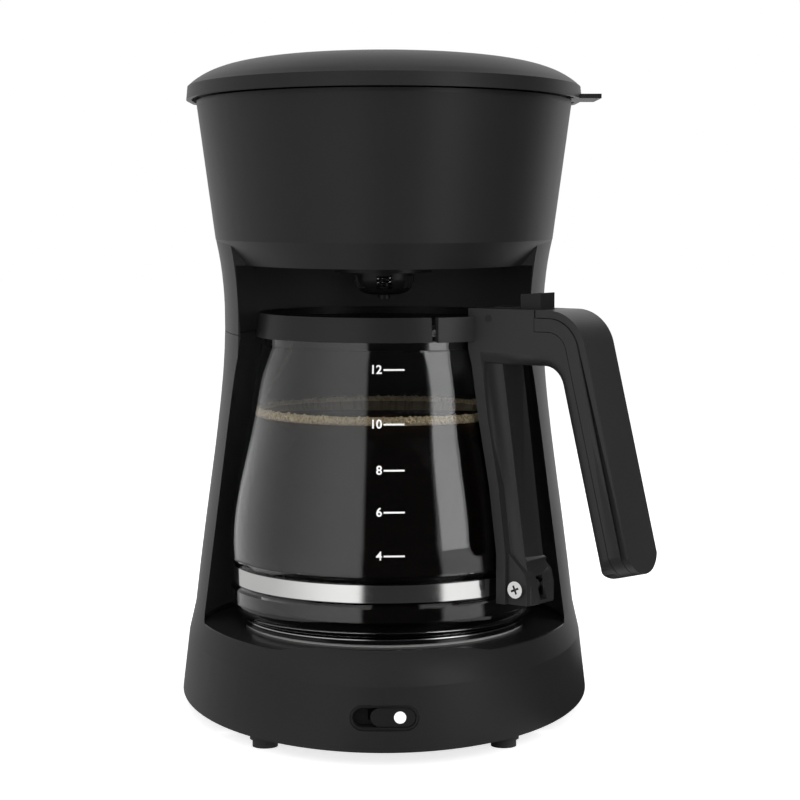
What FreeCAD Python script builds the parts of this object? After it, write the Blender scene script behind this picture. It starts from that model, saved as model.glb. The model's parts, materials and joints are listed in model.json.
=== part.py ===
"""Drip coffee maker: a twelve cup machine with a glass carafe, as separate named pieces.

Frame: millimetres, +Z up, +X to the right and +Y to the back when the machine is seen from the front.
The origin is on the standing surface, under the middle of the whole machine's box. The pieces are laid
out about the upright axis of the carafe, and each is then placed in that frame.
"""
import FreeCAD
import Part
import Sketcher
import math
import os

V = FreeCAD.Vector
UP = V(0, 0, 1)
BACK = V(0, 1, 0)
RIGHT = V(1, 0, 0)

# Two points or volumes closer than this are the same
SAME_PLACE = 1e-3
SAME_VOLUME = 1e-6

SIZES = {
    # Plan of the machine: a half ellipse at the front, straight sides and rounded corners at the back
    "widest_y": 55, "corner_radius": 34, "back_y": 120,
    # Base: half width and front at its lower edge and at the crease under the sloping top
    "foot_height": 7, "base_half": 104.0, "base_front": 104.5, "base_back": 122,
    "crease_z": 36.5, "crease_half": 100.5, "crease_front": 102.0,
    "swell_z": 44.5, "swell_half": 98.6, "swell_front": 97.8,
    "rim_z": 51.0, "rim_half": 97.2, "rim_front": 91.0,
    # Column: half widths of its hourglass sides
    "low_z": 100, "low_half": 91.0, "mid_z": 148, "mid_half": 84.6,
    "seam_z": 190, "waist_half": 81.4, "column_front": 84,
    # Brew head: flat underside, crease and top edge
    "head_low_z": 224, "head_low_half": 76.2, "head_low_front": 84,
    "head_crease_z": 236, "head_crease_half": 85.8, "head_crease_front": 93,
    "head_top_z": 303, "head_top_half": 94.8, "head_top_front": 102,
    "wall": 2.5, "seam_gap": 0.3, "fit": 0.3, "running": 0.05,
    # Carafe bay, a cone round the carafe
    "bay_floor_z": 48.0, "bay_low_radius": 89, "bay_high_radius": 71, "bay_top_radius": 73,
    "bay_edge_y": 14,
    # Warming plate and what heats it
    "plate_radius": 70, "plate_top_z": 51.4, "plate_gauge": 1.2, "plate_well": 62, "plate_lip": 2.0,
    "seal_width": 4.0, "heater_ring": 42, "heater_leg_y": 38, "heater_radius": 4.2,
    "water_radius": 4.0, "tube_wall": 1.0, "leg_y": 52, "contact": 0.1,
    "clip_front_y": 54, "clip_back_y": 10, "clip_width": 12, "clip_gauge": 1.5,
    "stud_radius": 2, "stud_nut_radius": 3.6, "stud_nut_height": 2.6,
    "thermostat_y": 20, "thermostat_radius": 8, "thermostat_height": 9, "fuse_y": 36, "fuse_radius": 2.4,
    "fuse_length": 16,
    # Water reservoir and the pipes behind the bay
    "tank_wall": 2.0, "tank_gap": 0.5, "tank_floor_z": 74, "tank_top_z": 299, "tank_front_y": 63.5,
    "pipe_y": 101, "spigot_radius": 5, "spigot_bore": 3, "spigot_length": 8,
    "hose_wall": 1.6, "hose_bend": 14, "hose_overlap": 8, "valve_radius": 7.5, "valve_length": 12,
    "riser_top_z": 301.5,
    # Top deck, spray arm and filter basket
    "deck_z": 296, "deck_gauge": 2.5, "deck_split_y": 62, "basket_rim_radius": 61, "basket_radius": 57,
    "basket_foot_radius": 42, "basket_floor_z": 229, "basket_wall": 2.0, "basket_flange": 2.0,
    "outlet_boss_radius": 23.5, "outlet_boss_z": 220.5, "outlet_hole_radius": 5.0, "floor_hole_radius": 27,
    "filter_ribs": 12, "rib_width": 1.6, "rib_depth": 1.5,
    "spray_radius": 24, "spray_gauge": 2.0, "spray_gap": 1.0, "spray_hole_radius": 1.6, "spray_holes": 8,
    "spray_hole_ring": 15, "arm_width": 13, "arm_height": 4.2,
    # Drip stop under the basket
    "cage_radius": 14.7, "cage_wall": 1.5, "cage_side_z": 217.2, "cage_tip_z": 209.6,
    "cage_tip_radius": 6.0, "cage_window": 7.4, "cage_windows": 6, "window_low_z": 212.4,
    "window_high_z": 218.9,
    "nub_radius": 3.0, "nub_z": 207.4, "collar_radius": 8.0, "collar_z": 212.0, "collar_gauge": 1.5,
    "stem_radius": 2.6, "seal_radius": 8.5, "seal_gauge": 2.0, "cap_radius": 4.5, "cap_height": 1.5,
    "spring_radius": 5.0, "spring_wire": 0.45, "spring_turns": 3,
    # Slide switch on the front of the base
    "switch_z": 22.5, "switch_length": 31.5, "switch_height": 11.8, "switch_floor_y": 94,
    "bezel_wall": 1.2, "bezel_front_y": 101.2, "knob_length": 20.5, "knob_front_y": 100.8, "knob_x": 3.9,
    "knob_gap": 0.35, "lamp_x": 3.2, "lamp_radius": 2.75, "lamp_depth": 1.5, "lamp_proud": 0.4,
    "switch_body_depth": 22, "switch_body_length": 36, "switch_body_height": 15, "switch_travel": 7.0,
    "tongue_length": 8, "tongue_height": 4, "tongue_depth": 6,
    # Underside: cover, feet and screws
    "cover_gauge": 2.2, "cover_gap": 0.4, "foot_x": 56, "foot_front_y": 62, "foot_back_y": 92,
    "foot_radius": 7.2, "foot_pad_radius": 6.0, "foot_pad_height": 3.6, "peg_radius": 3.0,
    "peg_length": 4.0, "screw_inset": 9, "screw_front_y": 36, "screw_back_y": 80, "screw_head": 3.6,
    "screw_radius": 1.6, "screw_length": 14, "screw_head_height": 2.0, "boss_radius": 5.0, "boss_length": 18,
    "gland_x": 60, "gland_z": 24, "gland_radius": 8, "gland_bore": 3.6, "gland_flange": 10,
    "gland_length": 10, "gland_flange_gauge": 2.5,
    # Lid of the machine and its hinge at the back
    "lid_z": 305.4, "lid_rim_z": 311.8, "lid_slope_z": 317.2, "lid_shoulder_z": 321.6, "lid_crown_z": 324.9,
    "lid_top_z": 325.8, "lid_half": 100.0, "lid_front": 107, "lid_rim_draft": 0.6, "lid_middle_y": 5,
    "lid_slope_share": 0.92, "lid_shoulder_share": 0.79, "lid_crown_share": 0.42, "lid_top_share": 0.08,
    "lid_wall": 2.4, "hinge_y": 113, "hinge_z": 309.2, "knuckle_radius": 3.6, "hinge_pin_radius": 1.5,
    "ear_x": 58, "ear_width": 8, "ear_gap": 0.6, "knuckle_length": 12, "notch_gap": 1.0,
    "tab_low_y": 12, "tab_high_y": 54, "tab_reach": 107, "tab_gauge": 2.2, "tab_root": 92,
    # Carafe glass: outer radii up the wall
    "glass_wall": 2.6, "glass_floor_z": 51.7, "glass_foot_radius": 64, "bulge_radius": 75.7,
    "bulge_low_z": 60.5, "bulge_high_z": 67.0, "groove_radius": 73.9, "groove_low_z": 69.4,
    "groove_high_z": 78.6, "swell_radius": 76.2, "swell_low_z": 82.0, "swell_high_z": 90,
    "flank_radius": 72.0, "flank_z": 122,
    "level_radius": 65.9, "level_z": 153.8, "glass_shoulder_radius": 62.3, "glass_shoulder_z": 178,
    "neck_radius": 60.2, "neck_z": 185.5, "mouth_z": 193,
    "band_gauge": 0.7, "band_width": 8.2, "band_gap": 0.15, "band_gap_half": 2.6, "ear_margin": 5.5,
    # Carafe lid: a skirt that leaves a gap for the collar of the handle, and a thumb lever on a pin
    "skirt_low_z": 189.4, "skirt_low_radius": 62.7, "skirt_top_z": 201.0, "skirt_top_radius": 61.2,
    "skirt_step_z": 193.6, "skirt_inner": 59.2, "lid_plate_z": 195.2, "lid_plate_gauge": 2.2,
    "lid_plate_radius": 59.8, "dish_radius": 34, "dish_depth": 2.0, "drip_hole_radius": 6,
    "skirt_open_angle": 64, "lid_pin_r": 71, "lid_pin_z": 200.4, "lid_pin_radius": 1.8, "lever_width": 12,
    "lever_root_r": 52, "lever_rise_r": 66, "lever_back_z": 203.6, "lever_block_r": 84, "lever_end_r": 95,
    "lever_block_z": 211.8, "lever_top_z": 212.6, "lever_under_z": 200.6, "lever_heel_z": 196.6,
    # Handle in its own upright plane: distances from the carafe axis, heights and offsets from the outer line
    "handle_angle": 37, "handle_width": 27, "bar_top_z": 205.0, "bar_depth": 26, "elbow_r": 119.5,
    "grip_slope": 0.25, "grip_drop": 121, "grip_depth": 17.8, "cover_thick": 3.5, "strip_thick": 6.0,
    "handle_seam": 0.3, "strip_start_r": 96.5, "cover_width": 25.5, "elbow_round": 20,
    "elbow_inner_round": 11, "heel_round": 7.0, "belly_round": 6.4, "glass_gap": 0.9, "glass_bite": 3.0,
    "collar_angle": 60, "collar_outer": 64.5, "flange_width": 27, "flange_thick": 4.0,
    "ridge_width": 17, "ridge_top_r": 75, "ridge_low_r": 89, "ridge_low_z": 88, "foot_margin": 11.5,
    "foot_mid_z": 80, "foot_low_z": 66.5, "foot_low_margin": 7.5, "ridge_round": 5.5,
    "cheek_width": 23, "cheek_margin": 5.5, "cheek_top_r": 80, "cheek_top_z": 92, "cheek_high_z": 80,
    "channel_width": 13.2, "channel_floor_z": 193.4, "slot_width": 5.4, "slot_run": 7.5, "slot_margin": 1.0,
    "clamp_r": 86.5, "clamp_z": 74.0, "clamp_radius": 2.0, "clamp_head": 4.0, "clamp_head_height": 2.2,
    "nut_radius": 3.6, "nut_height": 2.6, "ear_bore": 2.2,
}

doc = FreeCAD.newDocument("coffee_maker")
sheet = doc.addObject("Spreadsheet::Sheet", "Sizes")
for row, (alias, value) in enumerate(SIZES.items(), start=1):
    sheet.set(f"A{row}", alias)
    sheet.set(f"B{row}", str(value))
    sheet.setAlias(f"B{row}", alias)
doc.recompute()

SUB_PARTS = []


class Length:
    """A length with its value in millimetres and the sheet formula that gives it."""

    def __init__(self, value, formula):
        self.value = value
        self.formula = formula

    def _join(self, sign, other, value):
        return Length(value, f"({self.formula} {sign} {as_length(other).formula})")

    def __add__(self, other):
        return self._join("+", other, self.value + as_length(other).value)

    def __sub__(self, other):
        return self._join("-", other, self.value - as_length(other).value)

    def __mul__(self, other):
        return self._join("*", other, self.value * as_length(other).value)

    def __truediv__(self, other):
        return self._join("/", other, self.value / as_length(other).value)

    def __neg__(self):
        return Length(-self.value, f"(0 - {self.formula})")


def as_length(number):
    """A plain number or a length, as a length."""
    return number if isinstance(number, Length) else Length(float(number), f"{number}")


class Sheet:
    """The driving dimensions as lengths, read from the sheet by name."""

    def __getattr__(self, alias):
        return Length(float(sheet.get(alias)), f"Sizes.{alias}")


S = Sheet()


def size(alias):
    """The value of one cell of the sheet."""
    return float(sheet.get(alias))


def least(first, second):
    """The smaller of two lengths."""
    return Length(min(first.value, second.value), f"min({first.formula}; {second.formula})")


def share_of_turn(name, angle):
    """The sine or cosine of an angle in degrees, as a length without a unit."""
    return Length(getattr(math, name)(math.radians(angle.value)), f"{name}({angle.formula} * 1 deg)")


# The carafe's axis in the machine's frame, from what reaches furthest to each side
GRIP_END = S.elbow_r + S.grip_slope * S.grip_drop
REACH_RIGHT = GRIP_END * share_of_turn("cos", S.handle_angle)
REACH_RIGHT += S.cover_width / 2 * share_of_turn("sin", S.handle_angle)
REACH_BACK = S.back_y - S.wall - S.gland_flange_gauge - S.fit + S.gland_length
AXIS_X = (S.base_half - REACH_RIGHT) / 2
AXIS_Y = (S.lid_front - REACH_BACK) / 2


def keep(thing, label, x=0, y=0, turn=None):
    """Name a finished sub-part and place it by its offset from the carafe's axis and a turn about it."""
    thing.Label = label
    for axis, amount in (("x", AXIS_X + x), ("y", AXIS_Y + y)):
        thing.setExpression(f"Placement.Base.{axis}", amount.formula)
    if turn is not None:
        thing.Placement.Rotation = FreeCAD.Rotation(UP, turn.value)
        thing.setExpression("Placement.Rotation.Angle", turn.formula)
    SUB_PARTS.append(thing)
    return thing


def body(name):
    """An empty body of the document."""
    return doc.addObject("PartDesign::Body", name)


def plane_of(owner, role):
    """One of a body's own origin planes."""
    return next(f for f in owner.Origin.OriginFeatures if f.Role == role)


def pin_point(sketch, geo, end, x, y):
    """Fix a sketch point at two lengths from the sketch's origin."""
    for kind, amount, on_axis in (("DistanceX", x, -2), ("DistanceY", y, -1)):
        amount = as_length(amount)
        if amount.formula in ("0", "0.0"):
            sketch.addConstraint(Sketcher.Constraint("PointOnObject", geo, end, on_axis))
            continue
        index = sketch.addConstraint(Sketcher.Constraint(kind, -1, 1, geo, end, amount.value))
        sketch.setExpression(f"Constraints[{index}]", amount.formula)


def blank_sketch(owner, name, role):
    """A sketch on one of the body's origin planes."""
    sketch = owner.newObject("Sketcher::SketchObject", name)
    sketch.AttachmentSupport = [(plane_of(owner, role), "")]
    sketch.MapMode = "FlatFace"
    return sketch


def polygon(owner, name, role, corners):
    """A sketch of straight lines whose corners are bound to lengths."""
    sketch = blank_sketch(owner, name, role)
    spots = [V(as_length(x).value, as_length(y).value, 0) for x, y in corners]
    count = len(spots)
    for i in range(count):
        sketch.addGeometry(Part.LineSegment(spots[i], spots[(i + 1) % count]), False)
    for i in range(count):
        sketch.addConstraint(Sketcher.Constraint("Coincident", i, 2, (i + 1) % count, 1))
    for i, (x, y) in enumerate(corners):
        pin_point(sketch, i, 1, x, y)
    return sketch


def circles(owner, name, role, rounds):
    """A sketch of circles, each given by its centre and radius as lengths."""
    sketch = blank_sketch(owner, name, role)
    for i, (x, y, radius) in enumerate(rounds):
        radius = as_length(radius)
        centre = V(as_length(x).value, as_length(y).value, 0)
        sketch.addGeometry(Part.Circle(centre, V(0, 0, 1), radius.value), False)
        index = sketch.addConstraint(Sketcher.Constraint("Radius", i, radius.value))
        sketch.setExpression(f"Constraints[{index}]", radius.formula)
        pin_point(sketch, i, 3, x, y)
    return sketch


def revolve(owner, corners, name="Profile"):
    """Turn a profile of (radius, height) corners about the body's Z axis."""
    sketch = polygon(owner, name, "XZ_Plane", corners)
    turned = owner.newObject("PartDesign::Revolution", name + "Turn")
    turned.Profile = sketch
    turned.ReferenceAxis = (sketch, ["V_Axis"])
    turned.Angle = 360
    doc.recompute()
    return turned


def pad(owner, sketch, length):
    """Raise a sketch by a length, half of it to each side."""
    raised = owner.newObject("PartDesign::Pad", sketch.Name + "Pad")
    raised.Profile = sketch
    raised.setExpression("Length", as_length(length).formula)
    raised.Midplane = True
    doc.recompute()
    return raised


def pocket(owner, sketch, length, may_miss=False):
    """Cut a sketch out by a length, half to each side, and stop if it removes nothing and has to."""
    before = owner.Shape.Volume
    cut = owner.newObject("PartDesign::Pocket", sketch.Name + "Cut")
    cut.Profile = sketch
    cut.setExpression("Length", as_length(length).formula)
    cut.Midplane = True
    doc.recompute()
    if not may_miss and owner.Shape.Volume > before - SAME_VOLUME:
        raise RuntimeError(f"{sketch.Name} cuts nothing from {owner.Label}")
    return cut


def polar(owner, feature, copies):
    """Repeat a feature about the body's Z axis."""
    pattern = owner.newObject("PartDesign::PolarPattern", feature.Name + "Ring")
    pattern.Originals = [feature]
    pattern.Axis = (next(f for f in owner.Origin.OriginFeatures if f.Role == "Z_Axis"), [""])
    pattern.Angle = 360
    pattern.Occurrences = copies
    owner.Tip = pattern
    doc.recompute()
    return pattern


def round_edges(owner, radius, wanted):
    """Fillet the edges of a body that a test picks out."""
    tip = owner.Tip
    names = [f"Edge{i}" for i, edge in enumerate(tip.Shape.Edges, start=1) if wanted(edge)]
    rounded = owner.newObject("PartDesign::Fillet", "Round")
    rounded.Base = (tip, names)
    rounded.setExpression("Radius", as_length(radius).formula)
    doc.recompute()
    return rounded


def solid(label, shape, turn=None):
    """A sub-part whose shape is worked out from the sheet's values."""
    thing = doc.addObject("Part::Feature", label)
    thing.Shape = shape
    return keep(thing, label, turn=turn)


def ring(inner, outer, low, high, y=0, x=0):
    """A plain tube about an upright axis."""
    tube = Part.makeCylinder(outer, high - low, V(x, y, low))
    if inner <= 0:
        return tube
    return tube.cut(Part.makeCylinder(inner, high - low, V(x, y, low)))


def block(x0, x1, y0, y1, z0, z1):
    """A box between two corners."""
    return Part.makeBox(x1 - x0, y1 - y0, z1 - z0, V(x0, y0, z0))


def spun(points):
    """A solid turned about Z from (radius, height) points."""
    wire = Part.makePolygon([V(r, 0, z) for r, z in points] + [V(points[0][0], 0, points[0][1])])
    return Part.Face(wire).revolve(V(0, 0, 0), UP, 360)


# Forms shared by the housings, the tank and the covers

def plan(half, front, z, inset=0.0, back=None):
    """The closed plan of the machine at one height, drawn in by an inset."""
    half, front = half - inset, front - inset
    back = (size("back_y") if back is None else back) - inset
    middle, corner = size("widest_y"), size("corner_radius") - inset
    bow = Part.Ellipse(V(0, -front, z), V(half, middle, z), V(0, middle, z))
    edges = [Part.Arc(bow, -math.pi / 2, 0).toShape(), Part.Arc(bow, 0, math.pi / 2).toShape()]
    right = max((edge.valueAt(end) for edge in edges for end in edge.ParameterRange), key=lambda p: p.x)
    lean = math.sqrt(0.5) * corner
    side, end = right.x - corner, back - corner
    chain = [V(right.x, middle, z), V(right.x, end, z), V(side + lean, end + lean, z), V(side, back, z)]
    mirror = [V(-p.x, p.y, p.z) for p in reversed(chain)]
    edges.append(Part.makeLine(chain[0], chain[1]))
    edges.append(Part.Arc(chain[1], chain[2], chain[3]).toShape())
    edges.append(Part.makeLine(chain[3], mirror[0]))
    edges.append(Part.Arc(mirror[0], mirror[1], mirror[2]).toShape())
    edges.append(Part.makeLine(mirror[2], mirror[3]))
    return Part.Wire(Part.__sortEdges__(edges))


def loft(wires, ruled=False):
    """A solid through plan sections."""
    return Part.makeLoft(wires, True, ruled)


def base_form(inset):
    """Base and sloping shoulder, from the lower edge to the rim of the bay."""
    low = plan(size("base_half"), size("base_front"), size("foot_height"), inset, size("base_back"))
    crease = plan(size("crease_half"), size("crease_front"), size("crease_z"), inset)
    swell = plan(size("swell_half"), size("swell_front"), size("swell_z"), inset)
    rim = plan(size("rim_half"), size("rim_front"), size("rim_z"), inset)
    return loft([low, crease], True).fuse(loft([crease, swell, rim]))


def column_form(inset):
    """The hourglass column from the rim of the bay to the crease of the brew head."""
    stations = (("rim_half", "rim_z", "rim_front"), ("low_half", "low_z", "column_front"),
                ("mid_half", "mid_z", "column_front"), ("waist_half", "seam_z", "column_front"),
                ("head_crease_half", "head_crease_z", "column_front"))
    return loft([plan(size(half), size(front), size(z), inset) for half, z, front in stations])


def head_form(inset):
    """The brew head from its flat underside to its open top."""
    low = plan(size("head_low_half"), size("head_low_front"), size("head_low_z"), inset)
    crease = plan(size("head_crease_half"), size("head_crease_front"), size("head_crease_z"), inset)
    top = plan(size("head_top_half"), size("head_top_front"), size("head_top_z"), inset)
    return loft([low, crease], True).fuse(loft([crease, top], True))


def bay_form(inset):
    """The space for the carafe: a cone round its axis, open to the front, grown by an inset."""
    reach = size("base_front") + size("widest_y")
    floor, top = size("bay_floor_z") - inset, size("head_low_z") + inset
    low, waist = size("bay_low_radius") + inset, size("bay_high_radius") + inset
    cone = spun([(0, floor), (low, floor), (low, size("rim_z")), (waist, size("seam_z")),
                 (size("bay_top_radius") + inset, top), (0, top)])
    front = block(-reach, reach, -reach, inset - size("bay_edge_y"), size("rim_z") - inset, top)
    return cone.fuse(front)


def slab(low, high):
    """Everything between two heights."""
    reach = 2 * size("base_front")
    return block(-reach, reach, -reach, reach, low, high)


def behind(y):
    """Everything to the back of an upright plane."""
    reach = 2 * size("head_top_z")
    return block(-reach, reach, y, reach, -reach, reach)


def stadium(length, height, y0, y1, x=0.0):
    """A slot-shaped bar along Y at the height of the switch."""
    z, half, end = size("switch_z"), height / 2, length / 2 - height / 2
    corners = [V(x - end, y0, z - half), V(x + end, y0, z - half),
               V(x + end, y0, z + half), V(x - end, y0, z + half)]
    right = Part.Arc(corners[1], V(x + end + half, y0, z), corners[2]).toShape()
    left = Part.Arc(corners[3], V(x - end - half, y0, z), corners[0]).toShape()
    lower, upper = Part.makeLine(corners[0], corners[1]), Part.makeLine(corners[2], corners[3])
    return Part.Face(Part.Wire([lower, right, upper, left])).extrude(V(0, y1 - y0, 0))


def base_side(y):
    """Half the width of the base's lower edge at one place along its depth."""
    bow = (size("widest_y") - y) / (size("widest_y") + size("base_front"))
    return size("base_half") * math.sqrt(1 - max(bow, 0) ** 2)


def four(front_y, back_y, half_at):
    """The four places of a part that repeats at the corners, front pair first."""
    return [(side * half_at(y), y) for y in (-front_y, back_y) for side in (-1, 1)]


# Housings

WALL = size("wall")
SEAM = size("seam_z")
SCREW_SPOTS = four(size("screw_front_y"), size("screw_back_y"), lambda y: base_side(y) - size("screw_inset"))
FOOT_SPOTS = four(size("foot_front_y"), size("foot_back_y"), lambda y: size("foot_x"))
COVER_TOP = size("foot_height") + size("cover_gauge")


def base_housing():
    """Base and lower column in one moulding, open below, with the bay cut into it."""
    shell = base_form(0).fuse(column_form(0)).common(slab(0, SEAM)).cut(bay_form(0))
    hollow = base_form(WALL).fuse(column_form(WALL)).cut(bay_form(WALL))
    reach = plan(size("base_half"), size("base_front"), 0, WALL, size("base_back"))
    mouth = Part.Face(reach).extrude(V(0, 0, COVER_TOP))
    shell = shell.cut(hollow).cut(mouth)
    shell = shell.cut(ring(0, size("plate_well"), 0, SEAM))
    shell = shell.cut(stadium(size("switch_length"), size("switch_height"), -size("base_front") - WALL,
                              -size("switch_floor_y")))
    gland = Part.makeCylinder(size("gland_radius") + size("fit"), 2 * size("corner_radius"),
                              V(size("gland_x"), size("back_y") - size("corner_radius"), size("gland_z")), BACK)
    bosses = [ring(size("screw_radius") + size("running"), size("boss_radius"), COVER_TOP + size("fit"),
                   COVER_TOP + size("boss_length"), y, x) for x, y in SCREW_SPOTS]
    return shell.cut(gland).multiFuse(bosses)


solid("base_housing", base_housing())


def head_housing():
    """Brew head and upper column in one moulding, open on top, with ears for the lid's hinge."""
    low = SEAM + size("seam_gap")
    shell = column_form(0).common(slab(low, size("head_crease_z"))).cut(bay_form(0))
    shell = shell.common(behind(-size("bay_edge_y"))).fuse(head_form(0))
    hollow = column_form(WALL).cut(bay_form(WALL)).common(behind(WALL - size("bay_edge_y")))
    floor = slab(size("head_low_z") + WALL, 2 * size("head_top_z"))
    hollow = hollow.fuse(head_form(WALL).common(floor))
    shell = shell.cut(hollow).cut(ring(0, size("floor_hole_radius"), SEAM, size("head_crease_z")))
    radius, wide, y, z = size("knuckle_radius"), size("ear_width"), size("hinge_y"), size("hinge_z")
    bore, foot = size("hinge_pin_radius") + size("running"), size("tank_top_z") + size("fit")
    for side in (-1, 1):
        x0 = side * size("ear_x") - wide / 2
        ear = Part.makeCylinder(radius, wide, V(x0, y, z), RIGHT)
        ear = ear.fuse(block(x0, x0 + wide, y - radius, y + radius, foot, z))
        root = block(x0, x0 + wide, y - radius, size("back_y") - WALL / 2, foot, size("head_top_z"))
        shell = shell.fuse(ear.fuse(root)).cut(Part.makeCylinder(bore, wide, V(x0, y, z), RIGHT))
    return shell.removeSplitter()


solid("head_housing", head_housing())


def bottom_cover():
    """The cover that closes the base from below, with holes for the feet and the screws."""
    gap = WALL + size("cover_gap")
    low = size("foot_height")
    outline = Part.Face(plan(size("base_half"), size("base_front"), low, gap, size("base_back")))
    cover = outline.extrude(V(0, 0, size("cover_gauge")))
    for x, y in SCREW_SPOTS:
        cover = cover.cut(ring(0, size("screw_radius") + size("fit"), low, COVER_TOP, y, x))
    for x, y in FOOT_SPOTS:
        cover = cover.cut(ring(0, size("peg_radius") + size("running"), low, COVER_TOP, y, x))
    return cover


solid("bottom_cover", bottom_cover())

FOOT_NAMES = ("foot_front_left", "foot_front_right", "foot_back_left", "foot_back_right")
for label, (x, y) in zip(FOOT_NAMES, FOOT_SPOTS):
    foot = body(label)
    revolve(foot, [(0, 0), (S.foot_pad_radius, 0), (S.foot_pad_radius, S.foot_pad_height),
                   (S.foot_radius, S.foot_pad_height), (S.foot_radius, S.foot_height),
                   (S.peg_radius, S.foot_height), (S.peg_radius, S.foot_height + S.peg_length),
                   (0, S.foot_height + S.peg_length)])
    keep(foot, label, S.foot_x if x > 0 else -S.foot_x, S.foot_back_y if y > 0 else -S.foot_front_y)


def screw(x, y):
    """One pan head screw that holds the bottom cover."""
    seat = size("foot_height")
    low = seat - size("screw_head_height")
    head = ring(0, size("screw_head"), low, seat, y, x)
    return head.fuse(ring(0, size("screw_radius"), seat, low + size("screw_length"), y, x))


solid("cover_screws", Part.makeCompound([screw(x, y) for x, y in SCREW_SPOTS]))

# Warming plate, its seal, and what heats it

plate = body("warming_plate")
PLATE_LOW = S.plate_top_z - S.plate_gauge
PLATE_INSIDE = S.plate_radius - S.plate_gauge
revolve(plate, [(0, PLATE_LOW), (PLATE_INSIDE, PLATE_LOW), (PLATE_INSIDE, S.plate_top_z - S.plate_lip),
                (S.plate_radius, S.plate_top_z - S.plate_lip),
                (S.plate_radius, S.plate_top_z - S.plate_gauge / 2),
                (PLATE_INSIDE, S.plate_top_z), (0, S.plate_top_z)])
keep(plate, "warming_plate")

seal = body("plate_seal")
SEAL_OUT = PLATE_INSIDE - S.fit
revolve(seal, [(SEAL_OUT - S.seal_width, S.bay_floor_z), (SEAL_OUT, S.bay_floor_z), (SEAL_OUT, PLATE_LOW),
               (SEAL_OUT - S.seal_width, PLATE_LOW)])
keep(seal, "plate_seal")

HEATER_Z = (PLATE_LOW - S.contact - S.heater_radius).value
WATER_Z = HEATER_Z - size("heater_radius") - size("contact") - size("water_radius")


def tube(path, start, along, outer, inner=0.0):
    """A round bar or pipe along a path of lines and arcs."""
    def run(radius):
        section = Part.Face(Part.Wire(Part.makeCircle(radius, start, along)))
        return path.makePipe(section)
    return run(outer).cut(run(inner)) if inner else run(outer)


def u_tube(z, leg, outer, inner=0.0):
    """A tube in a U under the plate, with both legs to the back."""
    half = size("heater_ring")
    start = V(half, leg, z)
    bow = Part.Arc(V(half, 0, z), V(0, -half, z), V(-half, 0, z)).toShape()
    legs = [Part.makeLine(start, V(half, 0, z)), Part.makeLine(V(-half, 0, z), V(-half, leg, z))]
    return tube(Part.Wire([legs[0], bow, legs[1]]), start, -BACK, outer, inner)


def elbow(x, top):
    """A pipe that slips over a leg of the water tube, runs to the back and turns up."""
    start = V(x, size("leg_y") - size("hose_overlap"), WATER_Z)
    corner, bend = V(x, size("pipe_y"), WATER_Z), size("hose_bend")
    lean = bend * (1 - math.sqrt(0.5))
    first, last = corner - BACK * bend, corner + UP * bend
    middle = V(x, corner.y - lean, WATER_Z + lean)
    path = Part.Wire([Part.makeLine(start, first), Part.Arc(first, middle, last).toShape(),
                      Part.makeLine(last, V(x, corner.y, top))])
    bore = size("water_radius") + size("running")
    return tube(path, start, BACK, bore + size("hose_wall"), bore)


solid("heater_element", u_tube(HEATER_Z, size("heater_leg_y"), size("heater_radius")))
WATER_BORE = size("water_radius") - size("tube_wall")
solid("water_tube", u_tube(WATER_Z, size("leg_y"), size("water_radius"), WATER_BORE))
VALVE_LOW = size("tank_floor_z") - size("spigot_length") - size("valve_length")
solid("inlet_hose", elbow(size("heater_ring"), VALVE_LOW))
solid("riser_pipe", elbow(-size("heater_ring"), size("riser_top_z")))
solid("check_valve", ring(size("spigot_bore"), size("valve_radius"), VALVE_LOW,
                          VALVE_LOW + size("valve_length"), size("pipe_y"), size("heater_ring")))

CLIP_TOP = WATER_Z - size("water_radius") - size("contact")
CLIP_LOW = CLIP_TOP - size("clip_gauge")
CLIP_HALF = size("clip_width") / 2
clip = block(-CLIP_HALF, CLIP_HALF, -size("clip_front_y"), size("clip_back_y"), CLIP_LOW, CLIP_TOP)
STUD_BORE = size("stud_radius") + size("running")
solid("heater_clip", clip.cut(ring(0, STUD_BORE, CLIP_LOW, CLIP_TOP)))
NUT_LOW = CLIP_LOW - size("stud_nut_height")
solid("plate_stud", ring(0, size("stud_radius"), NUT_LOW, PLATE_LOW.value))
solid("plate_stud_nut", ring(STUD_BORE, size("stud_nut_radius"), NUT_LOW, CLIP_LOW))
SENSOR_TOP = PLATE_LOW.value - size("contact")
solid("thermostat", ring(0, size("thermostat_radius"), SENSOR_TOP - size("thermostat_height"), SENSOR_TOP,
                         size("thermostat_y")))
fuse_end = V(-size("fuse_length") / 2, size("fuse_y"), SENSOR_TOP - size("fuse_radius"))
solid("thermal_fuse", Part.makeCylinder(size("fuse_radius"), size("fuse_length"), fuse_end, RIGHT))

# Carafe: glass, steel band and handle, about the carafe axis

def glass_wall_points(inset):
    """The carafe's wall from its foot to its mouth, drawn in by an inset."""
    names = (("bulge_radius", "bulge_low_z"), ("bulge_radius", "bulge_high_z"),
             ("groove_radius", "groove_low_z"), ("groove_radius", "groove_high_z"),
             ("swell_radius", "swell_low_z"), ("swell_radius", "swell_high_z"),
             ("flank_radius", "flank_z"), ("level_radius", "level_z"),
             ("glass_shoulder_radius", "glass_shoulder_z"), ("neck_radius", "neck_z"),
             ("neck_radius", "mouth_z"))
    return [V(size(radius) - inset, 0, size(height)) for radius, height in names]


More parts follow.
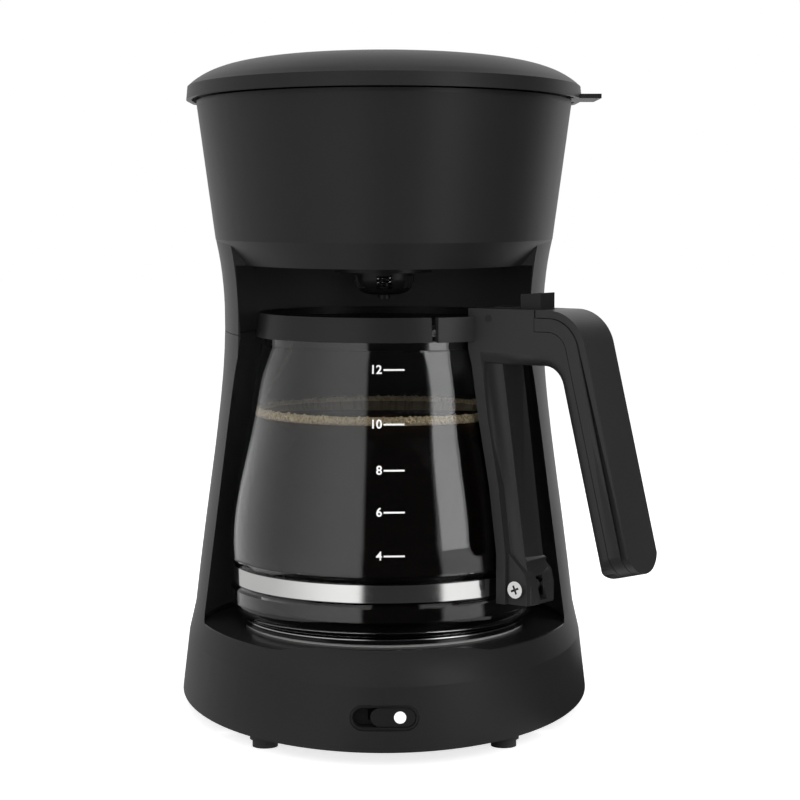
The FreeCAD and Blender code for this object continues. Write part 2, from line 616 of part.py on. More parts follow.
def glass_side(inset, floor):
    """The edges of one side of the carafe's wall, from the axis to the mouth."""
    foot = V(size("glass_foot_radius"), 0, floor)
    wall = glass_wall_points(inset)
    reach, rise = wall[0].x - foot.x, wall[0].z - foot.z
    bend = math.sqrt(0.5)
    turn = V(foot.x + reach * bend, 0, wall[0].z - rise * bend)
    curve = Part.BSplineCurve()
    curve.interpolate(wall[4:10])
    edges = [Part.makeLine(V(0, 0, floor), foot), Part.Arc(foot, turn, wall[0]).toShape()]
    edges += [Part.makeLine(a, b) for a, b in zip(wall[:4], wall[1:5])]
    return edges + [curve.toShape(), Part.makeLine(wall[9], wall[10])]


def carafe_glass():
    """The blown glass jug, open at its mouth."""
    thick, floor = size("glass_wall"), size("glass_floor_z")
    outside, inside = glass_side(0, floor), glass_side(thick, floor + thick)
    lip = Part.makeLine(glass_wall_points(0)[-1], glass_wall_points(thick)[-1])
    middle = Part.makeLine(V(0, 0, floor), V(0, 0, floor + thick))
    outline = Part.Wire(Part.__sortEdges__(outside + [lip] + inside + [middle]))
    return Part.Face(outline).revolve(V(0, 0, 0), UP, 360)


solid("carafe_glass", carafe_glass())
TURN = -S.handle_angle


def carafe_band():
    """The steel band round the glass, with two ears that the clamp screw draws together."""
    low = (size("groove_low_z") + size("groove_high_z") - size("band_width")) / 2
    high, inner = low + size("band_width"), size("groove_radius") + size("band_gap")
    gauge, half = size("band_gauge"), size("band_gap_half")
    reach = size("clamp_r") + size("ear_margin")
    hoop = ring(inner, inner + gauge, low, high).cut(block(0, reach, -half, half, low, high))
    start = math.sqrt(inner ** 2 - half ** 2)
    ears = [block(start, reach, y, y + gauge, low, high) for y in (-half, half - gauge)]
    bore = Part.makeCylinder(size("ear_bore"), 2 * half, V(size("clamp_r"), -half, size("clamp_z")), BACK)
    return hoop.multiFuse(ears).cut(bore)


solid("carafe_band", carafe_band(), TURN)

SLANT = Length(math.sqrt(1 + size("grip_slope") ** 2), "sqrt(1 + Sizes.grip_slope ^ 2)")

# The most of a straight run that a bend next to it may take up
RUN_SHARE = 0.9


def grip_corner(offset):
    """The elbow of the handle at an offset in from its outer line."""
    return S.elbow_r + S.grip_slope * offset - SLANT * offset, S.bar_top_z - offset


def grip_tip(offset):
    """The lower end of the handle at an offset in from its outer line."""
    return (S.elbow_r + S.grip_slope * S.grip_drop - as_length(offset) / SLANT,
            S.bar_top_z - S.grip_drop - S.grip_slope * offset / SLANT)


def near(edge, radius, height):
    """Whether an edge runs across the handle at one corner of its profile."""
    ends = [vertex.Point for vertex in edge.Vertexes]
    spot = V(radius.value, 0, height.value)
    return len(ends) == 2 and all(V(p.x, 0, p.z).sub(spot).Length < SAME_PLACE for p in ends)


def round_corners(owner, corners):
    """Round the cross edges of a handle piece, each with its own radius."""
    for radius, spot in corners:
        round_edges(owner, radius, lambda edge, spot=spot: near(edge, *spot))


def elbow_radius(offset, start_r):
    """The bend of one layer of the grip, no larger than the run before the elbow leaves room for."""
    run = grip_corner(offset)[0] - start_r
    return least(S.elbow_round - offset, run * RUN_SHARE / (SLANT - S.grip_slope))


def hook(label, outer, inner, width):
    """One layer of the grip: a bent strip between two offsets from the outer line."""
    layer, start_r = body(label), S.strip_start_r
    corners = [(start_r, S.bar_top_z - outer), grip_corner(outer), grip_tip(outer), grip_tip(inner),
               grip_corner(inner), (start_r, S.bar_top_z - inner)]
    pad(layer, polygon(layer, label + "_profile", "XZ_Plane", corners), width)
    round_corners(layer, [(elbow_radius(outer, start_r), corners[1]),
                          (elbow_radius(inner, start_r), corners[4])])
    return layer


STRIP_LOW = S.cover_thick + S.handle_seam
BELLY_TOP = STRIP_LOW + S.strip_thick + S.handle_seam
handle_cover = hook("handle_cover", as_length(0), S.cover_thick, S.cover_width)
round_corners(handle_cover, [(S.cover_thick - S.handle_seam, grip_tip(as_length(0)))])
keep(handle_cover, "handle_cover", turn=TURN)
grip_frame = hook("grip_frame", STRIP_LOW, STRIP_LOW + S.strip_thick, S.handle_width)
keep(grip_frame, "grip_frame", turn=TURN)


def sector(owner, name, corners, angle):
    """Turn a profile about the body's Z axis through part of a circle, evenly to both sides."""
    sketch = polygon(owner, name, "XZ_Plane", corners)
    turned = owner.newObject("PartDesign::Revolution", name + "Turn")
    turned.Profile = sketch
    turned.ReferenceAxis = (sketch, ["V_Axis"])
    turned.setExpression("Angle", angle.formula)
    turned.Midplane = True
    doc.recompute()
    return turned


def hole_across(owner, name, radius, r, z, may_miss=False):
    """A round hole right through a piece on the handle, square to the handle's plane."""
    sketch = circles(owner, name, "XZ_Plane", [(r, z, radius)])
    return pocket(owner, sketch, S.handle_width * 2, may_miss)


HUG = [(S.swell_radius, S.swell_high_z), (S.flank_radius, S.flank_z), (S.level_radius, S.level_z),
       (S.glass_shoulder_radius, S.glass_shoulder_z), (S.neck_radius, S.neck_z)]
BAR_LOW = S.bar_top_z - S.bar_depth
BAR_START = S.neck_radius - S.glass_bite
STRIP_EDGE = S.strip_start_r - S.handle_seam
INNER_R = S.elbow_r + S.grip_slope * S.bar_depth - SLANT * S.grip_depth


def handle_profile():
    """Top bar and inner half of the grip."""
    return [(BAR_START, S.bar_top_z), (STRIP_EDGE, S.bar_top_z), (STRIP_EDGE, S.bar_top_z - BELLY_TOP),
            grip_corner(BELLY_TOP), grip_tip(BELLY_TOP), grip_tip(S.grip_depth), (INNER_R, BAR_LOW),
            (BAR_START, BAR_LOW)]


def is_belly(edge):
    """Whether an edge lies along the rounded underside of the bar or the inner side of the grip."""
    middle = edge.valueAt((edge.FirstParameter + edge.LastParameter) / 2)
    inner = INNER_R.value + size("grip_slope") * (BAR_LOW.value - middle.z)
    on_side = abs(abs(middle.y) - size("handle_width") / 2) < SAME_PLACE
    low_bar = middle.z < BAR_LOW.value + size("elbow_inner_round") / 2 and middle.x > size("collar_outer")
    return on_side and low_bar and middle.x < inner + size("heel_round") / 2


def carafe_handle():
    """Top bar, collar, grip core, spine and clamp foot in one moulding."""
    handle = body("carafe_handle")
    corners = handle_profile()
    pad(handle, polygon(handle, "bar_profile", "XZ_Plane", corners), S.handle_width)
    round_corners(handle, [(elbow_radius(BELLY_TOP, STRIP_EDGE), corners[3]),
                           (S.elbow_inner_round, corners[6]), (S.heel_round, corners[5])])
    round_edges(handle, S.belly_round, is_belly)
    outside = S.glass_gap + S.flange_thick
    top = (S.neck_radius + outside, S.bar_top_z - S.bar_depth / 2)
    flange = [(r + outside, z) for r, z in HUG[:-1]]
    inside = [(r - S.glass_bite, z) for r, z in HUG[:-1]]
    low = S.foot_low_z
    flange = [top] + flange[::-1] + [(S.swell_radius + outside, low), (S.groove_radius - S.glass_bite, low)]
    flange += inside + [(BAR_START, S.bar_top_z - S.bar_depth / 2)]
    pad(handle, polygon(handle, "flange_profile", "XZ_Plane", flange), S.flange_width)
    hole_across(handle, "clamp_room", S.clamp_head + S.fit, S.clamp_r, S.clamp_z, may_miss=True)
    ridge = [(BAR_START, BAR_LOW + S.ridge_round), (S.ridge_top_r, BAR_LOW + S.ridge_round),
             (S.ridge_low_r, S.ridge_low_z), (S.clamp_r + S.foot_margin, S.foot_mid_z),
             (S.clamp_r + S.foot_low_margin, low), (S.groove_radius - S.glass_bite, low)] + inside
    pad(handle, polygon(handle, "ridge_profile", "XZ_Plane", ridge), S.ridge_width)
    cheek_end = S.clamp_r + S.cheek_margin
    cheek = [(S.groove_radius - S.glass_bite, low), (cheek_end, low), (cheek_end, S.cheek_high_z),
             (S.cheek_top_r, S.cheek_top_z), (S.groove_radius - S.glass_bite, S.cheek_top_z)]
    pad(handle, polygon(handle, "cheek_profile", "XZ_Plane", cheek), S.cheek_width)
    collar = [(BAR_START, S.skirt_low_z), (S.collar_outer, S.skirt_low_z), (S.collar_outer, S.skirt_top_z),
              (BAR_START, S.skirt_top_z)]
    sector(handle, "collar_profile", collar, S.collar_angle)
    high = S.bar_top_z + S.bar_depth
    clear = [(0, low - S.glass_bite), (S.swell_radius + S.glass_gap, low - S.glass_bite)]
    clear += [(r + S.glass_gap, z) for r, z in HUG] + [(S.neck_radius + S.glass_gap, high), (0, high)]
    sketch = polygon(handle, "glass_clearance", "XZ_Plane", clear)
    groove = handle.newObject("PartDesign::Groove", "GlassClearance")
    groove.Profile = sketch
    groove.ReferenceAxis = (sketch, ["V_Axis"])
    groove.Angle = 360
    doc.recompute()
    channel = [(BAR_START, S.channel_floor_z), (STRIP_EDGE, S.channel_floor_z), (STRIP_EDGE, high),
               (BAR_START, high)]
    pocket(handle, polygon(handle, "lever_channel", "XZ_Plane", channel), S.channel_width)
    low_slot, high_slot = S.groove_low_z - S.slot_margin, S.groove_high_z + S.slot_margin
    slot_end = S.clamp_r + S.slot_run
    slot = [(S.groove_radius, low_slot), (slot_end, low_slot), (slot_end, high_slot),
            (S.groove_radius, high_slot)]
    pocket(handle, polygon(handle, "ear_slot", "XZ_Plane", slot), S.slot_width)
    hole_across(handle, "pin_hole", S.lid_pin_radius + S.running, S.lid_pin_r, S.lid_pin_z)
    hole_across(handle, "clamp_hole", S.clamp_radius + S.running, S.clamp_r, S.clamp_z)
    return handle


keep(carafe_handle(), "carafe_handle", turn=TURN)


def clamp_screw():
    """The screw that draws the ears of the band together, square to the handle's plane."""
    r, z, side, tall = size("clamp_r"), size("clamp_z"), size("cheek_width") / 2, size("clamp_head_height")
    head = Part.makeCylinder(size("clamp_head"), tall, V(r, -side - tall, z), BACK)
    shank = 2 * side + size("nut_height")
    return head.fuse(Part.makeCylinder(size("clamp_radius"), shank, V(r, -side, z), BACK))


def clamp_nut():
    """The hexagon nut of the clamp screw."""
    centre = V(size("clamp_r"), size("cheek_width") / 2, size("clamp_z"))
    angles = [math.radians(60 * corner) for corner in range(7)]
    corners = [centre + V(math.cos(angle), 0, math.sin(angle)) * size("nut_radius") for angle in angles]
    nut = Part.Face(Part.makePolygon(corners)).extrude(BACK * size("nut_height"))
    bore = size("clamp_radius") + size("running")
    return nut.cut(Part.makeCylinder(bore, size("nut_height"), centre, BACK))


solid("clamp_screw", clamp_screw(), TURN)
solid("clamp_nut", clamp_nut(), TURN)

# Lid of the carafe

def carafe_lid():
    """Dished plate with a skirt over the glass, and a thumb lever that reaches through the handle."""
    lid = body("carafe_lid")
    top = S.lid_plate_z + S.lid_plate_gauge
    revolve(lid, [(S.drip_hole_radius, S.lid_plate_z - S.dish_depth), (S.dish_radius, S.lid_plate_z),
                  (S.lid_plate_radius, S.lid_plate_z), (S.lid_plate_radius, top), (S.dish_radius, top),
                  (S.drip_hole_radius, top - S.dish_depth)], "plate_profile")
    inner = S.neck_radius + S.glass_gap
    skirt = [(-S.skirt_low_radius, S.skirt_low_z), (-inner, S.skirt_low_z), (-inner, S.skirt_step_z),
             (-S.skirt_inner, S.lid_plate_z), (-S.skirt_inner, S.skirt_top_z),
             (-S.skirt_top_radius, S.skirt_top_z)]
    sector(lid, "skirt_profile", skirt, as_length(360) - S.skirt_open_angle)
    lever = [(S.lever_root_r, S.lid_plate_z), (S.lid_plate_radius, S.lid_plate_z),
             (S.lid_pin_r, S.lever_heel_z), (S.lever_block_r, S.lever_under_z),
             (S.lever_end_r, S.lever_under_z), (S.lever_end_r, S.lever_top_z),
             (S.lever_block_r, S.lever_block_z), (S.lever_block_r, S.lever_back_z),
             (S.lever_rise_r, S.lever_back_z), (S.lid_plate_radius, top), (S.lever_root_r, top)]
    pad(lid, polygon(lid, "lever_profile", "XZ_Plane", lever), S.lever_width)
    hole_across(lid, "pivot_hole", S.lid_pin_radius + S.running, S.lid_pin_r, S.lid_pin_z)
    return lid


keep(carafe_lid(), "carafe_lid", turn=TURN)
lid_pin = Part.makeCylinder(size("lid_pin_radius"), size("handle_width"),
                            V(size("lid_pin_r"), -size("handle_width") / 2, size("lid_pin_z")), BACK)
solid("carafe_lid_pin", lid_pin, TURN)

# Reservoir behind the bay, top deck, spray arm and filter basket

REACH = 2 * size("base_front")


def tank_form(extra):
    """The space behind the bay that the reservoir fills, drawn in by an extra wall."""
    inset = WALL + size("tank_gap") + extra
    form = column_form(inset).fuse(head_form(inset)).cut(bay_form(inset))
    front = block(-REACH, REACH, -REACH, size("tank_front_y") + extra, 0, 2 * size("head_top_z"))
    return form.cut(front).common(slab(size("tank_floor_z") + extra, size("head_top_z")))


def reservoir_tank():
    """The open-topped water tank with an outlet spigot and a sleeve for the riser."""
    floor, y, x = size("tank_floor_z"), size("pipe_y"), size("heater_ring")
    tank = tank_form(0).common(slab(floor, size("tank_top_z"))).cut(tank_form(size("tank_wall")))
    spigot = ring(0, size("spigot_radius"), floor - size("spigot_length"), floor, y, x)
    drain = ring(0, size("spigot_bore"), floor - size("spigot_length"), floor + 2 * size("tank_wall"), y, x)
    riser = size("water_radius") + size("running") + size("hose_wall") + size("contact")
    return tank.fuse(spigot).cut(drain).cut(ring(0, riser, floor, floor + 2 * size("tank_wall"), y, -x))


solid("reservoir_tank", reservoir_tank())

DECK_TOP = size("deck_z") + size("deck_gauge")
deck = head_form(WALL + size("fit")).common(slab(size("deck_z"), DECK_TOP))
deck = deck.common(block(-REACH, REACH, -REACH, size("deck_split_y"), 0, REACH * 2))
solid("top_deck", deck.cut(ring(0, size("basket_radius") + size("fit"), 0, REACH * 2)))


def filter_basket():
    """The filter basket, hung by its flange, with ribs for the paper and a sump with an outlet."""
    basket = body("filter_basket")
    wall, low = S.basket_wall, S.outlet_boss_z
    top = S.deck_z + S.deck_gauge
    rim, floor = top + S.basket_flange, S.basket_floor_z
    revolve(basket, [(S.outlet_hole_radius, low), (S.outlet_boss_radius, low),
                     (S.outlet_boss_radius, floor - wall), (S.basket_foot_radius, floor - wall),
                     (S.basket_radius, top), (S.basket_rim_radius, top),
                     (S.basket_rim_radius, rim), (S.basket_radius - wall, rim),
                     (S.basket_foot_radius - wall, floor), (S.outlet_boss_radius - wall, floor),
                     (S.outlet_boss_radius - wall, low + wall), (S.outlet_hole_radius, low + wall)])
    rib = polygon(basket, "rib_profile", "XZ_Plane",
                  [(S.basket_foot_radius - wall - S.rib_depth, floor - wall / 2),
                   (S.basket_foot_radius - wall / 2, floor - wall / 2),
                   (S.basket_radius - wall / 2, top), (S.basket_radius - wall - S.rib_depth, top)])
    first = pad(basket, rib, S.rib_width)
    polar(basket, first, int(size("filter_ribs")))
    return basket


keep(filter_basket(), "filter_basket")


def spray_arm():
    """The covered arm that carries hot water from the riser to a spray disc over the basket."""
    low = DECK_TOP + size("basket_flange") + size("spray_gap")
    disc_top = low + size("spray_gauge")
    x, y, wide = -size("heater_ring"), size("pipe_y"), size("arm_width")
    foot, roof = size("riser_top_z"), disc_top + size("arm_height")
    disc = ring(0, size("spray_radius"), low, disc_top)
    for i in range(int(size("spray_holes"))):
        angle = 2 * math.pi * i / size("spray_holes")
        spot = V(math.cos(angle), math.sin(angle), 0) * size("spray_hole_ring")
        disc = disc.cut(ring(0, size("spray_hole_radius"), low, disc_top, spot.y, spot.x))
    bar = block(0, math.hypot(x, y), -wide / 2, wide / 2, foot, roof)
    bar.rotate(V(0, 0, 0), UP, math.degrees(math.atan2(y, x)))
    ends = [ring(0, wide / 2, foot, roof, *spot) for spot in ((0, 0), (y, x))]
    return disc.multiFuse([bar] + ends)


solid("spray_arm", spray_arm())

# Drip stop: a caged plunger under the basket

def drip_cage():
    """The round cage under the outlet, with windows that let the coffee through."""
    top, wall = size("outlet_boss_z"), size("cage_wall")
    hole = size("nub_radius") + size("running")

    def side(inset):
        low = V(size("cage_tip_radius"), 0, size("cage_tip_z") + inset)
        high = V(size("cage_radius") - inset, 0, size("cage_side_z"))
        bend = math.sqrt(0.5)
        turn = V(low.x + (high.x - low.x) * bend, 0, high.z - (high.z - low.z) * bend)
        return low, Part.Arc(low, turn, high).toShape(), high

    low_out, arc_out, high_out = side(0)
    low_in, arc_in, high_in = side(wall)
    rim_out, rim_in = V(high_out.x, 0, top), V(high_in.x, 0, top)
    hole_out, hole_in = V(hole, 0, low_out.z), V(hole, 0, low_in.z)
    edges = [Part.makeLine(hole_out, low_out), arc_out, Part.makeLine(high_out, rim_out),
             Part.makeLine(rim_out, rim_in), Part.makeLine(rim_in, high_in), arc_in,
             Part.makeLine(low_in, hole_in), Part.makeLine(hole_in, hole_out)]
    cage = Part.Face(Part.Wire(Part.__sortEdges__(edges))).revolve(V(0, 0, 0), UP, 360)
    half, reach, inner = size("cage_window") / 2, 2 * size("cage_radius"), size("collar_radius")
    for i in range(int(size("cage_windows"))):
        window = block(-half, half, -reach, -inner, size("window_low_z"), size("window_high_z"))
        window.rotate(V(0, 0, 0), UP, 360 * i / size("cage_windows"))
        cage = cage.cut(window)
    return cage


solid("drip_cage", drip_cage())
SEAT_Z = S.outlet_boss_z + S.basket_wall + S.fit
COLLAR_TOP = S.collar_z + S.collar_gauge
plunger = body("drip_plunger")
SEAL_TOP = SEAT_Z + S.seal_gauge
CAP_TOP = SEAL_TOP + S.cap_height
revolve(plunger, [(0, S.nub_z), (S.nub_radius, S.nub_z), (S.nub_radius, S.collar_z),
                  (S.collar_radius, S.collar_z), (S.collar_radius, COLLAR_TOP), (S.stem_radius, COLLAR_TOP),
                  (S.stem_radius, SEAL_TOP), (S.cap_radius, SEAL_TOP), (S.cap_radius, CAP_TOP), (0, CAP_TOP)])
keep(plunger, "drip_plunger")
drip_seal = body("drip_seal")
SEAL_BORE = S.stem_radius + S.running
revolve(drip_seal, [(SEAL_BORE, SEAT_Z), (S.seal_radius, SEAT_Z), (S.seal_radius, SEAL_TOP),
                    (SEAL_BORE, SEAL_TOP)])
keep(drip_seal, "drip_seal")


def biarc(start, leave, end, arrive):
    """Two tangent arcs between two points with given directions."""
    chord, both = end - start, leave + arrive
    turn = 2 * (1 - leave.dot(arrive))
    reach = (math.sqrt(chord.dot(both) ** 2 + turn * chord.dot(chord)) - chord.dot(both)) / turn
    first, last = start + leave * reach, end - arrive * reach
    joint = (first + last) / 2

    def arc(a, apex, b):
        lean = (b - a).Length / 2 / (apex - a).Length
        middle = (a + b) / 2
        return Part.Arc(a, middle + (apex - middle) * (lean / (1 + lean)), b).toShape()
    return [arc(start, first, joint), arc(joint, last, end)]


def drip_spring():
    """The coil spring between the plunger's collar and the outlet, one unbroken wire."""
    wire, radius, turns = size("spring_wire"), size("spring_radius"), size("spring_turns")
    low = COLLAR_TOP.value + wire + size("contact")
    high = size("outlet_boss_z") - wire - size("contact")
    steps = int(4 * turns)
    rise = (high - low) / (turns * 2 * math.pi)

    def spot(angle):
        return V(radius * math.cos(angle), radius * math.sin(angle), low + rise * angle)

    def heading(angle):
        return V(-radius * math.sin(angle), radius * math.cos(angle), rise).normalize()
    angles = [2 * math.pi * turns * i / steps for i in range(steps + 1)]
    edges = []
    for a, b in zip(angles, angles[1:]):
        edges += biarc(spot(a), heading(a), spot(b), heading(b))
    path = Part.Wire(edges)
    section = Part.Wire(Part.makeCircle(wire, spot(0), heading(0)))
    print("least gap between the turns of the spring:", round(rise * 2 * math.pi - 2 * wire, 2), "mm")
    return path.makePipeShell([section], True, False)


solid("drip_spring", drip_spring())

# Slide switch, its lamp, and the cord's inlet

FLOOR_Y = -size("switch_floor_y")
RIM = size("bezel_wall")
LONG, TALL = size("switch_length") - 2 * size("contact"), size("switch_height") - 2 * size("contact")
bezel = stadium(LONG, TALL, -size("bezel_front_y"), FLOOR_Y)
solid("switch_bezel", bezel.cut(stadium(LONG - 2 * RIM, TALL - 2 * RIM, -size("bezel_front_y"), FLOOR_Y)))


def tongue(x0, x1, grow, y0, y1):
    """The bar behind the knob, or the slot that it slides in."""
    half = size("tongue_height") / 2 + grow
    return block(x0 - grow, x1 + grow, y0, y1, size("switch_z") - half, size("switch_z") + half)


TONGUE = (size("knob_x") - size("tongue_length") / 2, size("knob_x") + size("tongue_length") / 2)
TONGUE_END = FLOOR_Y + size("tongue_depth")
half_long, half_tall = size("switch_body_length") / 2, size("switch_body_height") / 2
switch = block(-half_long, half_long, FLOOR_Y, FLOOR_Y + size("switch_body_depth"),
               size("switch_z") - half_tall, size("switch_z") + half_tall)
slide_slot = tongue(TONGUE[0] - size("switch_travel"), TONGUE[1], size("knob_gap"), FLOOR_Y,
                    TONGUE_END + size("knob_gap"))
solid("switch_body", switch.cut(slide_slot))
LAMP_X = size("knob_x") + size("lamp_x")
LAMP_FLOOR = size("lamp_depth") - size("knob_front_y")


def lamp(radius, front):
    """A round plug along Y at the lamp's place in the knob."""
    return Part.makeCylinder(radius, LAMP_FLOOR - front, V(LAMP_X, front, size("switch_z")), BACK)


KNOB_BACK = FLOOR_Y - size("knob_gap")
knob_tall = TALL - 2 * RIM - 2 * size("knob_gap")
knob = stadium(size("knob_length"), knob_tall, -size("knob_front_y"), KNOB_BACK, size("knob_x"))
knob = knob.fuse(tongue(*TONGUE, 0, KNOB_BACK, TONGUE_END))
solid("switch_knob", knob.cut(lamp(size("lamp_radius") + size("running"), -size("knob_front_y"))))
solid("lamp_lens", lamp(size("lamp_radius"), -size("knob_front_y") - size("lamp_proud")))


def cord_gland():
    """The round inlet for the cord in the back of the base."""
    long, gauge = size("gland_length"), size("gland_flange_gauge")
    start = V(size("gland_x"), REACH_BACK.value - long, size("gland_z"))
    gland = Part.makeCylinder(size("gland_radius"), long, start, BACK)
    gland = gland.fuse(Part.makeCylinder(size("gland_flange"), gauge, start, BACK))
    return gland.cut(Part.makeCylinder(size("gland_bore"), long, start, BACK))


solid("cord_gland", cord_gland())

# Lid of the machine, on two pins at the back

def lid_form(inset):
    """The domed lid, drawn in by an inset."""
    back = size("hinge_y") + size("knuckle_radius")
    low = plan(size("lid_half"), size("lid_front"), size("lid_z") - inset, inset, back)
    draft = size("lid_rim_draft")
    rim = plan(size("lid_half") - draft, size("lid_front") - draft, size("lid_rim_z") - inset, inset, back)

    def shrunk(share, z):
        wire = rim.copy()
        wire.translate(V(0, -size("lid_middle_y"), -rim.BoundBox.ZMin))
        wire.scale(share)
        wire.translate(V(0, size("lid_middle_y"), z - inset))
        return wire
    stations = ("lid_slope", "lid_shoulder", "lid_crown", "lid_top")
    dome = [rim] + [shrunk(size(name + "_share"), size(name + "_z")) for name in stations]
    return loft([low, rim], True).fuse(loft(dome))


def across(radius, x0, x1):
    """A round bar along X on the hinge axis."""
    return Part.makeCylinder(radius, x1 - x0, V(x0, size("hinge_y"), size("hinge_z")), RIGHT)


EAR_HALF = size("ear_width") / 2 + size("ear_gap")
PIN_HALF = EAR_HALF + size("knuckle_length")


def top_lid():
    """The domed lid with its side tab and hinge knuckles."""
    lid = lid_form(0).cut(lid_form(size("lid_wall")))
    y, z, radius, low = size("hinge_y"), size("hinge_z"), size("knuckle_radius"), size("lid_z")
    lid = lid.fuse(block(size("tab_root"), size("tab_reach"), size("tab_low_y"), size("tab_high_y"), low,
                         low + size("tab_gauge")))
    bore, room = size("hinge_pin_radius") + size("running"), radius + size("notch_gap")
    for middle in (-size("ear_x"), size("ear_x")):
        notch = block(middle - EAR_HALF, middle + EAR_HALF, y - room, y + 2 * radius, 0, z + room)
        lid = lid.cut(notch)
        for x0, x1 in ((middle - PIN_HALF, middle - EAR_HALF), (middle + EAR_HALF, middle + PIN_HALF)):
            lid = lid.fuse(across(radius, x0, x1))
        lid = lid.cut(across(bore, middle - PIN_HALF, middle + PIN_HALF))
    return lid


solid("top_lid", top_lid())
for label, middle in (("lid_pin_left", -size("ear_x")), ("lid_pin_right", size("ear_x"))):
    solid(label, across(size("hinge_pin_radius"), middle - PIN_HALF, middle + PIN_HALF))

# Check every object, then write each sub-part

doc.recompute()
failed = [thing.Name for thing in doc.Objects if {"Invalid", "Error"} & set(thing.State)]
failed += [part.Label for part in SUB_PARTS if part.Shape.isNull() or not part.Shape.isValid()]
if failed:
    raise RuntimeError(f"these objects failed: {failed}")
os.makedirs("parts", exist_ok=True)
for part in SUB_PARTS:
    part.Shape.exportStep(os.path.join("parts", part.Label + ".step"))
print(len(SUB_PARTS), "sub-parts written")
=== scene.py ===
"""Drip coffee maker: finishes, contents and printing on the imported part, in metres and in its own frame."""

import json
import logging
import math
import random
from dataclasses import dataclass, field
from enum import Enum
from typing import Any, Mapping, Optional, Sequence, Union

import bmesh
import bpy
from mathutils import Matrix, Vector
from mathutils.bvhtree import BVHTree

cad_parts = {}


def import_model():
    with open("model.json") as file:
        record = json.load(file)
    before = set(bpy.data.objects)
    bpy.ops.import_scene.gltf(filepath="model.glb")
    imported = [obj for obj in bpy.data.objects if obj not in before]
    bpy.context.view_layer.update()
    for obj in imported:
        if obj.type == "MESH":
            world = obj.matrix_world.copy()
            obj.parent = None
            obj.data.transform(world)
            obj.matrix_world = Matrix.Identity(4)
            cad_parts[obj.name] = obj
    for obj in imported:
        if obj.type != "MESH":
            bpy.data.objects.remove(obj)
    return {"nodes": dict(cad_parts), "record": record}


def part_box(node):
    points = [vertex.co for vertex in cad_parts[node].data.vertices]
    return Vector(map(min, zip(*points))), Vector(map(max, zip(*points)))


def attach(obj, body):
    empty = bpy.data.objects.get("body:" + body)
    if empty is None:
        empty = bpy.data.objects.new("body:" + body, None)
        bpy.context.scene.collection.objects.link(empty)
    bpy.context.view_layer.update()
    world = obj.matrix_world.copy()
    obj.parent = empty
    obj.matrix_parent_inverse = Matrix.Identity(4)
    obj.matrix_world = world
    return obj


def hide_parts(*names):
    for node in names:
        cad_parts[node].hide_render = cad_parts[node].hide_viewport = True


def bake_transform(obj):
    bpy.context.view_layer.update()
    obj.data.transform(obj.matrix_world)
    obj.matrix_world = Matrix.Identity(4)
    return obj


LOG = logging.getLogger("coffee_maker")

Colour = tuple[float, float, float]
Profile = Sequence[tuple[float, float]]
MM = 0.001
HANDLE_TURN = math.radians(37)
SHARP_EDGE = math.radians(35)
WHITE = (1.0, 1.0, 1.0, 1.0)


class Body(Enum):
    """The moving bodies that a new piece can ride on."""

    HOUSING = "housing"
    CARAFE = "carafe"
    PLUNGER = "drip_plunger"


class Slot(Enum):
    """The material slots of the part's record."""

    HOUSING = "housing_plastic"
    BLACK = "black_plastic"
    GRIP = "grip_plastic"
    INNER = "inner_plastic"
    ENAMEL = "enamel"
    STEEL = "steel"
    ALUMINIUM = "aluminium"
    SILICONE = "silicone"
    RUBBER = "foot_rubber"
    GLASS = "carafe_glass"
    LAMP = "lamp"
    DEVICE = "device"


class Value:
    """A shader socket that sums are written with."""

    def __init__(self, tree: "Tree", socket: bpy.types.NodeSocket) -> None:
        """Wrap one output socket of a tree."""
        self.tree = tree
        self.socket = socket

    def _sum(self, operation: str, first: "Operand", second: "Operand") -> "Value":
        """Add the Math node of one operation."""
        return self.tree.node("ShaderNodeMath", {"operation": operation}, {0: first, 1: second})

    def __add__(self, other: "Operand") -> "Value":
        """Add a number or a socket."""
        return self._sum("ADD", self, other)

    def __radd__(self, other: "Operand") -> "Value":
        """Be added to a number."""
        return self._sum("ADD", other, self)

    def __sub__(self, other: "Operand") -> "Value":
        """Take a number or a socket away."""
        return self._sum("SUBTRACT", self, other)

    def __rsub__(self, other: "Operand") -> "Value":
        """Be taken away from a number."""
        return self._sum("SUBTRACT", other, self)

    def __mul__(self, other: "Operand") -> "Value":
        """Multiply by a number or a socket."""
        return self._sum("MULTIPLY", self, other)

    def __rmul__(self, other: "Operand") -> "Value":
        """Be multiplied by a number."""
        return self._sum("MULTIPLY", other, self)

    def __lt__(self, other: "Operand") -> "Value":
        """Give 1 where the socket is less."""
        return self._sum("LESS_THAN", self, other)

    def __gt__(self, other: "Operand") -> "Value":
        """Give 1 where the socket is more."""
        return self._sum("GREATER_THAN", self, other)

    def ease(self, low: float, high: float) -> "Value":
        """Rise smoothly from 0 to 1 between two values.

        Args:
            low: where the rise starts.
            high: where it ends.

        Returns:
            The eased socket.
        """
        settings = {"interpolation_type": "SMOOTHSTEP"}
        return self.tree.node("ShaderNodeMapRange", settings, {0: self, 1: low, 2: high})

    def out(self, name: str) -> "Value":
        """Take another output of the same node."""
        return Value(self.tree, self.socket.node.outputs[name])


Operand = Union[Value, float]


